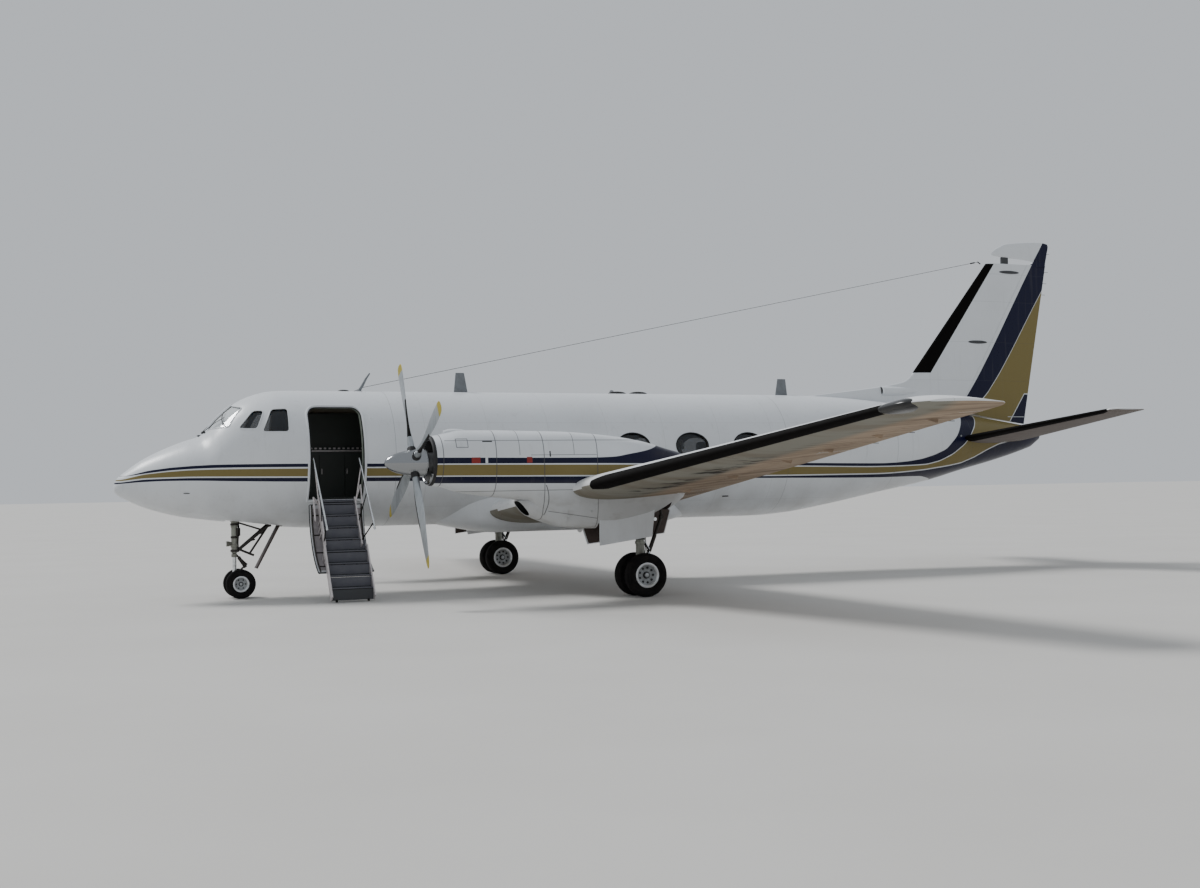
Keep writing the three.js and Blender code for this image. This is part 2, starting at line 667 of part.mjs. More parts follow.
function nacelle() {
  const well = box(
    WHEEL_WELL.front, WHEEL_WELL.rear,
    NACELLE_Y - WHEEL_WELL.half, NACELLE_Y + WHEEL_WELL.half, TOOL.low, WHEEL_WELL.ceiling,
  );
  const bay = nacelleBlank(ENGINE_BAY.front, FIREWALL, -NACELLE_WALL)
    .intersect(box(NACELLE_FRONT, FIREWALL, 0, HALF_SPAN, ENGINE_BAY.floor, HEIGHT));
  const { z, rear, radius } = INTAKE;
  const mouth = rod([NACELLE_FRONT - OVER, NACELLE_Y, z], [rear, NACELLE_Y, z], radius, 16);
  const flaps = WING_SURFACES.slice(0, 2).map((row) => wingSurface(row, FLAP_ROOM));
  const body = nacelleBlank(NACELLE_FRONT, NACELLE_REAR);
  return cutBy(body, raisedWing(wingBlank(WING_GAP)), well, bay, mouth, ...flaps);
}

function engine() {
  const { front, z, radius, gearCase } = ENGINE;
  const face = PROP.station + PROP.hubHalf + GAP;
  return joined(
    rod([front, NACELLE_Y, z], [FIREWALL - GAP, NACELLE_Y, z], radius, 12),
    rod([face, NACELLE_Y, PROP.z], [front + 1, NACELLE_Y, PROP.z], gearCase, 12),
  );
}

const spinnerRadius = (u) => SPINNER.radius * Math.sqrt(1 - (1 - u) ** SPINNER.bluntness);

// One blade along z, its chord nearly in the disc; grown, only the root that the spinner clears
function blade(grow = 0) {
  const chosen = grow > 0 ? BLADE_ROWS.slice(0, 2) : BLADE_ROWS;
  const rings = chosen.map(([radius, chord, thick, twist]) => {
    const [across, along] = [Math.sin(twist * Math.PI / 180), Math.cos(twist * Math.PI / 180)];
    return Array.from({ length: BLADE_SIDES }, (_, k) => {
      const angle = (2 * Math.PI * k) / BLADE_SIDES;
      const [u, v] = [(chord + grow) * Math.cos(angle), (thick + grow) * Math.sin(angle)];
      return [u * across + v * along, u * along - v * across, radius];
    });
  });
  return loft(rings);
}

function bladeSolids(grow = 0) {
  return Array.from({ length: PROP.blades }, (_, k) => {
    const angle = BLADE_ANGLE + (k * 2 * Math.PI) / PROP.blades;
    return solidOf(placed(blade(grow), new THREE.Matrix4().makeRotationX(-angle)));
  });
}

function turnedAlongX(profile, segments) {
  const solid = lathe(profile, segments);
  return solidOf(placed(geometryOf(solid), new THREE.Matrix4().makeRotationZ(-Math.PI / 2)));
}

function propellerBlades() {
  const { hubRadius, hubHalf } = PROP;
  const hub = turnedAlongX([[0, -hubHalf], [hubRadius, -hubHalf], [hubRadius, hubHalf], [0, hubHalf]], 8);
  return joined(hub, ...bladeSolids());
}

function spinner() {
  const long = SPINNER.back - SPINNER.tip;
  const nose = SPINNER.tip - PROP.station;
  const cuts = [0, 0.04, 0.2, 0.5, 1];
  const inner = cuts.slice(2).reverse();
  const skin = cuts.map((u) => [spinnerRadius(u), nose + u * long]);
  const lining = inner.map((u) => [spinnerRadius(u) - SPINNER.wall, nose + u * long]);
  const shell = turnedAlongX([...skin, ...lining, [0, nose + 0.15 * long]], 12);
  return cutBy(shell, ...bladeSolids(GAP));
}

// Landing gear
function tyre(wheel) {
  const { radius, half, seat: rim } = wheel;
  const wall = radius - (radius - rim) * TYRE.bulge;
  const [seat, crown] = [half * TYRE.seat, half * TYRE.crown];
  const profile = [
    [rim, -seat], [wall, -half], [radius, -crown], [radius, crown], [wall, half], [rim, seat],
    [rim, -seat],
  ];
  return lathe(profile, WHEEL_SIDES);
}

// Two rims on one turning axle
function wheelPair(wheel) {
  const { half, seat: rim, hub, axle } = wheel;
  const edge = rim - GAP;
  const outer = hub + half * RIM.width;
  const inner = hub - half * RIM.width;
  const dish = outer - half * RIM.dish;
  const port = [
    [0, -outer], [rim * RIM.hub, -dish], [rim * RIM.edge, -dish], [edge, -outer], [edge, -inner],
    [axle, -inner],
  ];
  const starboard = port.map(([radius, along]) => [radius, -along]).reverse();
  return lathe([...port, ...starboard], WHEEL_SIDES);
}

// Bore radius of a twelve-sided eye that just clears an axle
const boreFor = (axle) => (axle + 0.6) / Math.cos(Math.PI / 12);

function lug(x, y, z, bore, radius, half) {
  const ring = [[bore, -half], [radius, -half], [radius, half], [bore, half], [bore, -half]];
  return lathe(ring, 12, x, y, z);
}

function mainLeg() {
  const { x, radius, axle } = MAIN_WHEEL;
  const y = NACELLE_Y;
  const { z, half, radius: trunnion } = MAIN_TRUNNION;
  const post = joined(
    ...MAIN_LEG.map(([x0, z0, x1, z1, thick, sides]) =>
      rod([x + x0, y, z0], [x + x1, y, z1], thick, sides)),
    rod([x, y - half - 1, z], [x, y + half + 1, z], trunnion, 8),
  );
  const trimmed = cutBy(post, raisedWing(wingBlank(WING_GAP)));
  const keep = trimmed.intersect(box(WHEEL_WELL.front, WHEEL_WELL.rear, y - half, y + half, 0, LEG_TOP));
  const eye = boreFor(axle);
  const bore = rod([x, y - 80, radius], [x, y + 80, radius], eye, 12);
  return cutBy(joined(keep, lug(x, y, radius, eye, 92, 48)), bore);
}

function mainDoor(outline, y) {
  const plate = sidePlate(outline, y - GEAR_DOOR.half, y + GEAR_DOOR.half);
  return cutBy(plate, nacelleBlank(NACELLE_FRONT, NACELLE_REAR, GAP));
}

const noseLeg = () => joined(...NOSE_LEG.map(([x0, y0, z0, x1, y1, z1, radius, sides]) =>
  rod([STEER_X + x0, y0, z0], [STEER_X + x1, y1, z1], radius, sides)));

function noseFork() {
  const { x, radius, axle } = NOSE_WHEEL;
  const { radius: tube, collar, collarLong, toe, half, rise } = FORK;
  const { top, knee, foot, reach, radius: link } = FORK_LINK;
  const body = joined(
    rod([STEER_X, 0, radius - 10], [STEER_X, 0, STEER_Z - GAP], tube),
    rod([STEER_X, 0, STEER_Z - collarLong], [STEER_X, 0, STEER_Z - GAP], collar),
    box(STEER_X - toe, x, -half, half, radius - rise, radius + rise),
    ...[top, foot].map((z) => rod([STEER_X + 20, 0, z], [STEER_X + reach, 0, knee], link, 6)),
    lug(x, 0, radius, boreFor(axle), 52, 40),
  );
  const bore = rod([x, -60, radius], [x, 60, radius], boreFor(axle), 12);
  return cutBy(body, bore);
}

const noseGearDoor = () => sidePlate(NOSE_DOOR, -NOSE_DOOR_HALF, NOSE_DOOR_HALF);

// Fin and rudder, sections in planes of constant height
const hingeX = (z) => HINGE.x - HINGE.slope * (HINGE.z - z);
const rudderTrail = (z) => RUDDER.trailX + RUDDER.trailSlope * (z - RUDDER.trailZ);
const finLead = (z) => FIN.leadRoot + FIN.leadSlope * (z - FIN.rootZ);
const upright = ([x, span, z]) => [x, z, span];

function rudderHinge(z) {
  const chord = rudderTrail(z) - finLead(z);
  const radius = foilHalf((hingeX(z) - finLead(z)) / chord, FIN.thick, chord);
  return { x: hingeX(z), z: 0, radius, trail: rudderTrail(z) };
}

function verticalFin() {
  const ring = (z) => airfoilRing(finLead(z), rudderTrail(z) - finLead(z), FIN.thick, 0, z).map(upright);
  const blank = loftSolid([ring(FIN.rootZ - 200), ring(FIN.topZ)]);
  const nose = (z) => {
    const { x, radius } = rudderHinge(z);
    return x - radius * STRETCH;
  };
  const front = (z) => nose(z) - SURFACE_GAP;
  const [low, high] = [FUSELAGE.at(-1)[2], HEIGHT];
  const behind = sidePlate([
    [front(low), low], [front(low) + LENGTH, low], [front(high) + LENGTH, high], [front(high), high],
  ], -TOOL.in, TOOL.in);
  const brackets = HINGE_BRACKET.places.map((part) => {
    const z = THREE.MathUtils.lerp(FIN.rootZ + HINGE_BRACKET.finLow, FIN.topZ, part);
    const [below, above] = [z - HINGE_BRACKET.half, z + HINGE_BRACKET.half];
    return sidePlate([
      [front(below) - 2, below], [nose(below) - GAP, below], [nose(above) - GAP, above],
      [front(above) - 2, above],
    ], -HINGE_BRACKET.rise, HINGE_BRACKET.rise);
  });
  const dorsal = sidePlate(DORSAL, -FIN_PLATE.dorsal, FIN_PLATE.dorsal);
  return cutBy(joined(cutBy(blank, cutBy(behind, ...brackets)), dorsal), outside);
}

const STRETCH = Math.hypot(1, HINGE.slope);

function rudder() {
  const ring = (z) => surfaceRing(rudderHinge(z), z, STRETCH).map(upright);
  const levels = [RUDDER.bottomZ, 5000, RUDDER.topZ];
  const lower = loftSolid(levels.map(ring));
  const horn = sidePlate(HORN, -FIN_PLATE.horn, FIN_PLATE.horn);
  const neck = sidePlate(HORN_NECK, -FIN_PLATE.neck, FIN_PLATE.neck);
  const rows = FUSELAGE.filter(([x]) => x > FIN.leadRoot);
  const [first, low] = [rows[0][0], rows.at(-1)[2]];
  const below = sidePlate([
    [first, low - TOOL.in], [LENGTH + OVER, low - TOOL.in], [LENGTH + OVER, low],
    ...rows.map(([x, top]) => [x, top + TAIL_CLEAR]).reverse(),
  ], -TOOL.in, TOOL.in);
  return joined(cutBy(lower, below), horn, neck);
}

// Tailplane and elevator, starboard side
function tailAt(span) {
  const part = span / TAILPLANE.half;
  const chord = THREE.MathUtils.lerp(TAILPLANE.rootChord, TAILPLANE.tipChord, part);
  const lead = THREE.MathUtils.lerp(TAILPLANE.rootLead, TAILPLANE.tipLead, part);
  return { chord, lead };
}

function elevatorHinge(span) {
  const { chord, lead } = tailAt(span);
  const radius = foilHalf(TAILPLANE.hinge, TAILPLANE.thick, chord);
  return { x: lead + TAILPLANE.hinge * chord, z: 0, radius, trail: lead + chord };
}

function tailplane() {
  const rows = [[TAILPLANE.half - TAILPLANE.start, 1, 1], ...TAILPLANE_TIP];
  const blank = loftSolid(rows.map(([inward, size, thin]) => {
    const span = TAILPLANE.half - inward;
    const { chord, lead } = tailAt(span);
    const cut = chord * (1 - size) * TIP_SWEEP;
    return airfoilRing(lead + cut, chord * size, TAILPLANE.thick * thin, 0, span);
  }));
  const { elevatorStart, elevatorEnd } = TAILPLANE;
  const cutter = surfaceCutter(elevatorStart, elevatorEnd, elevatorHinge, CUT_DEPTH);
  return raisedTail(cutBy(blank, cutter));
}

function elevator() {
  const ring = (span) => surfaceRing(elevatorHinge(span), span);
  const spans = [TAILPLANE.elevatorStart + SURFACE_GAP, TAILPLANE.elevatorEnd - SURFACE_GAP];
  return raisedTail(loftSolid(spans.map(ring)));
}

// Airstair: a curved door skin below, two flights of steps and two handrails
const stairSlope = () => {
  const run = STAIR.head - STAIR.foot;
  return { angle: Math.atan2(STAIR.headZ, run), long: Math.hypot(run, STAIR.headZ) };
};

function stairPoint(along, off = 0) {
  const { angle } = stairSlope();
  const y = STAIR.head - along * Math.cos(angle) - off * Math.sin(angle);
  const z = STAIR.headZ - along * Math.sin(angle) + off * Math.cos(angle);
  return [y, z];
}

function flight(from, to, front, rear, first) {
  const { thick: wall, low, high, tuck } = CHEEK;
  const side = [stairPoint(from, low), stairPoint(to, low), stairPoint(to, high), stairPoint(from, high)];
  const cheeks = [frontPlate(side, front, front + wall), frontPlate(side, rear - wall, rear)];
  const half = STAIR.depth / 2;
  const thick = STAIR.thick / 2;
  const treads = Array.from({ length: STAIR.steps }, (_, k) => {
    const [y, z] = stairPoint((first + k + STAIR.firstStep) * STAIR.pitch, STEP.off);
    const top = Math.min(z + STAIR.riser, DOOR.sill - tuck);
    return frontPlate([
      [y - half, z - thick], [y + half, z - thick], [y + half, top], [y + half - STEP.lip, top],
      [y + half - STEP.lip, z + thick], [y - half, z + thick],
    ], front + tuck, rear - tuck);
  });
  const [under, above] = [-SKIN.radius, SKIN.radius];
  const length = [
    stairPoint(from, under), stairPoint(to, under), stairPoint(to, above), stairPoint(from, above),
  ];
  return joined(...cheeks, ...treads).intersect(frontPlate(length, front - tuck, rear + tuck));
}

// The door skin's curve, its centre line and its frames below the steps
const SKIN = { radius: 1195, thick: 40, reach: 670, middle: 695, drop: 80, steps: 8, inset: 5 };
// Stretches of the stair that its frames take, measured down its line
const FRAMES = { upper: [330, 620], lower: [980, 1200] };
// Where each handrail stay stands: a share of the rail and a distance down the stair
const STAYS = [[0.1, 140], [0.95, 850]];

function skinArc(size) {
  const { radius, reach, middle, drop, steps } = SKIN;
  const centre = stairPoint(middle, Math.sqrt(radius ** 2 - middle ** 2) - drop);
  const { angle } = stairSlope();
  return Array.from({ length: steps + 1 }, (_, k) => {
    const turn = angle + Math.PI / 2 + Math.asin(reach / radius) * (1 - (2 * k) / steps);
    return [centre[0] - size * Math.cos(turn), centre[1] - size * Math.sin(turn)];
  });
}

function skinFrames([from, to], front, rear) {
  const { thick, low, tuck } = CHEEK;
  const hollow = skinArc(SKIN.radius - SKIN.thick - 2 * GAP);
  const outline = [...hollow, stairPoint(SKIN.middle, SKIN.radius / 2)];
  const room = frontPlate(outline, front - tuck, rear + tuck);
  const [near, far] = [low + 5, -SKIN.radius / 2];
  const side = [stairPoint(from, near), stairPoint(to, near), stairPoint(to, far), stairPoint(from, far)];
  return [front, rear - thick].map((x) => frontPlate(side, x, x + thick).intersect(room));
}

// A handrail beside one cheek, on two stays
function handrail(x, cheek) {
  const { topY, topZ, endY, endZ, radius, stay } = RAIL;
  const { lerp } = THREE.MathUtils;
  const at = (part) => [x, lerp(topY, endY, part), lerp(topZ, endZ, part)];
  return joined(rod(at(0), at(1), radius, 6), ...STAYS.map(([part, along]) =>
    rod(at(part), [cheek, ...stairPoint(along, CHEEK.high / 3)], stay, 6)));
}

function airstairUpper() {
  const { front, rear, pitch, steps } = STAIR;
  const { out, in: inner, low, high } = HINGE_ARM;
  const wall = CHEEK.thick;
  const treads = flight(0, pitch * steps - GAP / 2, front, rear, 0);
  const frames = skinFrames(FRAMES.upper, front, rear);
  const arms = [front, rear - wall].map((x) => box(x, x + wall, out, inner, low, high));
  const rails = joined(handrail(RAIL.front, front + wall / 2), handrail(RAIL.rear, rear - wall / 2));
  return joined(
    cutBy(joined(treads, ...frames, ...arms), outside),
    cutBy(rails, cutBy(outside, doorway())),
  );
}

function airstairLower() {
  const { lowFront: front, lowRear: rear, steps: count, pitch, firstStep, depth, end } = STAIR;
  const { inset, half, radius, z } = FOOT;
  const { tuck } = CHEEK;
  const treads = flight(pitch * count + GAP / 2, stairSlope().long - end, front, rear, count);
  const frames = skinFrames(FRAMES.lower, front, rear);
  const [lastY, lastZ] = stairPoint((2 * count - 1 + firstStep) * pitch, STEP.off);
  const edge = lastY - depth / 2;
  const kick = box(front + tuck, rear - tuck, edge, edge + STEP.lip, z, lastZ);
  const y = edge + STEP.lip / 2;
  const feet = [front + inset, rear - inset].map((x) =>
    rod([x - half, y, z], [x + half, y, z], radius, 10));
  return joined(treads, kick, ...frames, ...feet);
}

function doorSkin() {
  const outline = [...skinArc(SKIN.radius), ...skinArc(SKIN.radius - SKIN.thick).reverse()];
  return frontPlate(outline, DOOR.front + SKIN.inset, DOOR.rear - SKIN.inset);
}

// Assembly
const aeroplane = new THREE.Group();
const airframe = new THREE.Group();
airframe.position.x = -LENGTH / 2;
aeroplane.add(airframe);

function add(name, solid, material, position = [0, 0, 0], parent = airframe) {
  const mesh = new THREE.Mesh(geometryOf(solid), MATERIALS[material]);
  mesh.name = name;
  mesh.position.set(...position);
  parent.add(mesh);
  return mesh;
}

function addPair(name, solid, material, ...cutters) {
  add(`${name}_right`, cutBy(solid, ...cutters), material);
  add(`${name}_left`, cutBy(mirrored(solid), ...cutters), material);
}

add("radome", fuselage(0, RADOME_JOINT - GAP), "white");
add("fuselage_front", fuselageFront(), "white");
add("fuselage_cabin", fuselageCabin(), "white");
add("fuselage_tail", fuselageTail(), "white");
add("wing_body_fairing", wingBodyFairing(), "white");
add("cabin_floor", cabinFloor(), "dark");
add("cockpit_bulkhead", cockpitBulkhead(), "dark");
add("aft_bulkhead", aftBulkhead(), "dark");
add("instrument_panel", instrumentPanel(), "dark");
addPair("pilot_seat", seat(PILOT_SEAT), "cloth");
add("cabin_seats_right", cabinSeats(470, 840), "cloth");
add("cabin_seats_left", cabinSeats(-620, 440), "cloth");
add("cockpit_glazing", cockpitGlazing(), "glass");
addPair("cabin_windows", cabinGlazing(), "glass");

addPair("wing", wing(), "white", outside, fairing(GAP));
WING_SURFACES.forEach((row) => addPair(row[0], wingSurface(row), "white"));
addPair("nacelle", nacelle(), "white");
addPair("engine", engine(), "iron");

for (const [side, y] of [["right", NACELLE_Y], ["left", -NACELLE_Y]]) {
  add(`propeller_${side}`, propellerBlades(), "grey", [PROP.station, y, PROP.z]);
  add(`spinner_${side}`, spinner(), "polished", [PROP.station, y, PROP.z]);
  const { x, radius, hub } = MAIN_WHEEL;
  add(`main_wheels_${side}`, wheelPair(MAIN_WHEEL), "steel", [x, y, radius]);
  add(`main_tyre_outer_${side}`, tyre(MAIN_WHEEL), "rubber", [x, y + Math.sign(y) * hub, radius]);
  add(`main_tyre_inner_${side}`, tyre(MAIN_WHEEL), "rubber", [x, y - Math.sign(y) * hub, radius]);
}
addPair("main_leg", mainLeg(), "steel");
addPair("main_door_outer", mainDoor(OUTER_DOOR, NACELLE_Y + GEAR_DOOR.offset), "white");
addPair("main_door_inner", mainDoor(INNER_DOOR, NACELLE_Y - GEAR_DOOR.offset), "white");

add("nose_leg", noseLeg(), "steel");
add("nose_fork", noseFork(), "steel");
add("nose_gear_door", noseGearDoor(), "grey");
add("nose_wheels", wheelPair(NOSE_WHEEL), "steel", [NOSE_WHEEL.x, 0, NOSE_WHEEL.radius]);
for (const [side, y] of [["right", NOSE_WHEEL.hub], ["left", -NOSE_WHEEL.hub]]) {
  add(`nose_tyre_${side}`, tyre(NOSE_WHEEL), "rubber", [NOSE_WHEEL.x, y, NOSE_WHEEL.radius]);
}

add("vertical_fin", verticalFin(), "white");
add("rudder", rudder(), "white");
addPair("tailplane", tailplane(), "white", outside);
addPair("elevator", elevator(), "white");
add("airstair_upper", airstairUpper(), "tread");
add("airstair_lower", airstairLower(), "tread");
add("door_skin", doorSkin(), "white");

export default aeroplane;
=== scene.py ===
import math

import bmesh
import bpy
from mathutils import Matrix, Vector


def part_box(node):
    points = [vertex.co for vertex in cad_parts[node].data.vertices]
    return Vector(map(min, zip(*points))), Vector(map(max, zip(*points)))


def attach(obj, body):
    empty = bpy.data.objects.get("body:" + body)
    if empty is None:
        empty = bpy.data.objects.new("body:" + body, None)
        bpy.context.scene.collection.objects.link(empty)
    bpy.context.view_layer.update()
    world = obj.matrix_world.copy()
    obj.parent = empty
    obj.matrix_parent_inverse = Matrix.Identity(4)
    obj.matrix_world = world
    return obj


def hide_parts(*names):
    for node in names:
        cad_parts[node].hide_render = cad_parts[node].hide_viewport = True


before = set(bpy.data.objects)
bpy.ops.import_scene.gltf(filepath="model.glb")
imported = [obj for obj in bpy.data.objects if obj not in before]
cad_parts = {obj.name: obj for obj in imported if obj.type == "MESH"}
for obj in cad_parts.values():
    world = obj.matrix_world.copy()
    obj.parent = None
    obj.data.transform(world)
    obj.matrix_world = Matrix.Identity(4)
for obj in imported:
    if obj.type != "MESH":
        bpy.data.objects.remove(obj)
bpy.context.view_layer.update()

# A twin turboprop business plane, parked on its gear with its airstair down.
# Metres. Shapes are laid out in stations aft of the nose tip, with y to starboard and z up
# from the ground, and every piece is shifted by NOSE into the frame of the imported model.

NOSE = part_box("radome")[0].x
SIDES = (("right", 1), ("left", -1))
AFT, OUT, UP = (1, 0, 0), (0, 1, 0), (0, 0, 1)
EVEN = (1, 1, 1)
# Points around the body, and the distance within which two points become one
AROUND, MERGE = 96, 1e-5
# What a painted line's curve can cover, and how many points it has
LINE_LENGTH, LINE_HEIGHT, LINE_POINTS = 20.0, 8.0, 60

# Fuselage: station, top, bottom, half width
FUSELAGE = [
    (0, 1.91, 1.91, 0.002), (0.06, 2.07, 1.795, 0.15), (0.2, 2.19, 1.71, 0.29),
    (0.45, 2.37, 1.59, 0.46), (0.8, 2.55, 1.475, 0.64), (1.12, 2.68, 1.4, 0.77),
    (1.41, 2.78, 1.358, 0.865), (1.66, 3.06, 1.325, 0.935), (2.02, 3.36, 1.285, 1.02),
    (2.3, 3.48, 1.25, 1.08), (2.6, 3.545, 1.215, 1.135), (3.0, 3.555, 1.18, 1.175),
    (3.4, 3.555, 1.165, 1.195), (11.8, 3.555, 1.165, 1.195), (12.6, 3.553, 1.21, 1.185),
    (13.5, 3.535, 1.34, 1.12), (14.78, 3.45, 1.57, 0.96), (16.07, 3.31, 1.8, 0.74),
    (16.84, 3.215, 1.99, 0.6), (17.63, 3.1, 2.17, 0.45), (18.36, 2.99, 2.36, 0.3),
    (18.94, 2.89, 2.56, 0.14), (19.01, 2.8, 2.64, 0.07),
]
WALL = 0.08
JOINTS = {"radome": 1.0, "front": 4.5, "cabin": 12.15, "tail": 19.01}
FLOOR = 1.6
DOOR = {"front": 3.045, "rear": 3.955, "sill": 1.66, "top": 3.225, "corner": 0.16}
WINDOW = {"first": 6.54, "pitch": 1.19, "count": 5, "z": 2.52, "width": 0.66, "height": 0.48}
SIDE_WINDOWS = [
    [(1.92, 2.862), (2.213, 2.848), (2.352, 3.168), (2.18, 3.168)],
    [(2.29, 2.8), (2.722, 2.797), (2.735, 3.2), (2.466, 3.19)],
]
WINDSCREEN = [(0.055, 2.87), (0.7, 2.89), (0.52, 3.23), (0.055, 3.29)]
SIDE_CORNER = {"hole": 0.06, "pane": 0.05}
SCREEN_CORNER = {"hole": 0.05, "pane": 0.04}
NOSE_WELL = ((1.78, -0.21, 1.0), (2.74, 0.21, 1.5))
FAIRING_TOP = 1.8
FAIRING = [
    (5.4, 1.19, 0.42), (5.9, 1.09, 0.86), (6.5, 1.0, 1.01), (8.8, 1.0, 1.01),
    (9.7, 1.09, 0.86), (10.3, 1.19, 0.42),
]

# Wing, laid out flat and then raised by its dihedral
HALF_SPAN = 11.96
DIHEDRAL = math.radians(6.5)
WING = {
    "z": 1.29, "half": HALF_SPAN / math.cos(DIHEDRAL), "turn": DIHEDRAL, "start": 0.9,
    "lead": (6.11, 7.48), "chord": (3.39, 1.35), "thick": (0.18, 0.12), "camber": 0.02,
    "tip": 0.33,
}
WING_SURFACES = [
    ("flap_inboard", 1.3, 3.4, 0.7), ("flap_outboard", 4.039, 8.29, 0.7),
    ("aileron", 8.33, 11.45, 0.75),
]
TAILPLANE = {
    "z": 2.58, "half": 3.885, "turn": math.radians(7.4), "start": 0.15,
    "lead": (16.45, 17.6), "chord": (1.9, 0.82), "thick": (0.105, 0.105), "camber": 0.0,
    "tip": 0.09,
}
ELEVATOR = ("elevator", 0.56, 3.76, 0.62)
WING_BOOT = (4.7, 11.47)
TIP_LENS = (11.472, 11.93)
TAILPLANE_BOOT = (0.5, TAILPLANE["half"] - 0.12)
FIN_BOOT = (4.05, 6.42)
SURFACE_GAP = 0.012

# Nacelle: station, top, bottom, half width, squareness
GEAR_Y = 3.685
NACELLE = [
    (4.38, 2.605, 1.855, 0.375, 2), (4.55, 2.64, 1.83, 0.4, 2.1), (4.82, 2.7, 1.745, 0.42, 2.3),
    (5.43, 2.7, 1.65, 0.425, 2.5), (5.86, 2.69, 1.59, 0.425, 2.6), (6.13, 2.685, 1.33, 0.425, 2.8),
    (6.51, 2.675, 1.16, 0.425, 3.4), (7.21, 2.62, 1.12, 0.425, 4), (7.82, 2.53, 1.22, 0.42, 4),
    (8.37, 2.385, 1.42, 0.375, 3.4), (8.65, 2.31, 1.59, 0.25, 2.6), (8.71, 2.2, 1.64, 0.12, 2.2),
]
WELL = {"front": 7.04, "rear": 8.33, "half": 0.33, "ceiling": 1.7}
PROP = {
    "x": 4.14, "z": 2.205, "radius": 1.755, "blades": 4, "tip": 3.69, "back": 4.33, "spinner": 0.212,
}
BLADE_ANGLE = math.radians(27)
# Blade: radius, half chord, half thickness, twist in degrees
BLADE = [
    (0.09, 0.052, 0.052, 22), (0.33, 0.055, 0.05, 22), (0.64, 0.11, 0.024, 16), (1.2, 0.13, 0.013, 3),
    (1.6, 0.112, 0.008, -3), (1.72, 0.085, 0.006, -5.5), (1.75, 0.045, 0.004, -6),
]
INTAKE_Z = 2.23
ENGINE_Z = 2.22

# Landing gear and tail
MAIN_WHEEL = {"x": 7.9, "radius": 0.3525, "half": 0.092, "seat": 0.192, "hub": 0.205, "bolts": 9}
NOSE_WHEEL = {"x": 2.03, "radius": 0.2475, "half": 0.066, "seat": 0.125, "hub": 0.17, "bolts": 6}
STEER = {"x": 1.95, "z": 0.76}
DOOR_OUT = 0.352
WICKS = {"fin": (6.3, 6.05, 5.8), "aileron": (8.9, 9.8, 10.7, 11.2)}
RIDGE = [(13.16, 3.53), (13.89, 3.612), (14.99, 3.752), (15.63, 3.88), (15.9, 4.08), (16.3, 4.1)]
FIN = {"root": 3.05, "top": 6.43, "lead": 15.016, "slope": 0.8136, "thick": 0.075}
RUDDER = {"bottom": 3.09, "top": 6.44, "trail": 18.67, "slope": 0.2005}
RUDDER_HINGE = {"x": 18.89, "z": 6.51, "slope": 0.601}

# Rudder horn: height, leading and trailing station
HORN = [
    (6.52, 18.96, 19.352), (6.56, 18.45, 19.36), (6.6, 17.95, 19.37), (6.64, 17.915, 19.38),
    (6.73, 17.985, 19.4), (6.8, 18.12, 19.42), (6.868, 18.27, 19.43), (6.91, 18.6, 19.41),
    (6.93, 18.85, 19.38), (6.938, 19.05, 19.3),
]

# Airstair, sloping down and out from the sill
STAIR = {
    "foot": -2.18, "head": -1.06, "z": 1.64, "front": 3.17, "rear": 3.8, "steps": 4,
    "pitch": 0.235, "first": 0.34, "depth": 0.15, "thick": 0.024, "riser": 0.175,
    "low_front": 3.16, "low_rear": 3.88,
}
DOOR_SKIN = {"radius": 1.195, "thick": 0.04, "reach": 0.67, "middle": 0.695, "drop": 0.08}
RAIL = {"front": 3.11, "rear": 3.885, "start": (-1.105, 2.32), "end": (-2.14, 1.226)}

# Seats: stations, places across the cabin, the height of the backs and the rails' stations
SEATS = {
    "first": 5.13, "pitch": 1.19, "rows": 6, "left": (-0.62,), "right": (0.26, 0.68), "top": 2.66,
    "rails": (5.0, 11.21),
}
PILOTS = {"x": 2.56, "y": 0.45, "top": 2.78}

# Paint scheme: each edge of a stripe as points of station and height
UPPER_TOP = [
    (0.2, 2.105), (0.308, 2.152), (0.414, 2.17), (0.723, 2.215), (1.096, 2.247), (1.659, 2.266),
    (2.958, 2.262), (4.13, 2.25), (9, 2.231), (12.85, 2.17), (14.402, 2.155), (15.214, 2.2),
    (15.755, 2.307), (16.167, 2.462), (16.392, 2.673), (16.543, 2.834), (16.691, 3.071),
    (17.17, 3.644), (18.977, 6.474), (19.341, 7.023),
]
UPPER_BOTTOM = [
    (0.2, 2.1), (0.308, 2.134), (0.412, 2.137), (0.72, 2.172), (1.093, 2.2), (1.66, 2.213),
    (2.96, 2.207), (4.13, 2.194), (9, 2.186), (12.85, 2.118), (14.2, 2.1), (15.524, 2.129),
    (16.068, 2.229), (16.465, 2.436), (16.755, 2.648), (16.928, 2.836), (17.027, 3.002),
    (17.1, 3.131), (17.631, 3.621), (19.159, 5.798), (20, 6.99),
]
GOLD_TOP = [
    (0.106, 2.042), (0.412, 2.119), (0.72, 2.153), (1.093, 2.179), (1.657, 2.187), (2.96, 2.181),
    (12.85, 2.1),
] + [(x, z - 0.02) for x, z in UPPER_BOTTOM if x > 14]
GOLD_BOTTOM = [
    (0.105, 2.022), (0.41, 2.062), (0.717, 2.069), (1.09, 2.075), (1.66, 2.068), (2.96, 2.05),
    (9, 2.0), (12.07, 1.955), (14.29, 1.96), (15.578, 2.026), (15.995, 2.074), (16.581, 2.149),
    (16.979, 2.279), (17.376, 2.463), (17.594, 2.543), (18.3, 2.66), (18.9, 2.74), (20, 2.8),
]
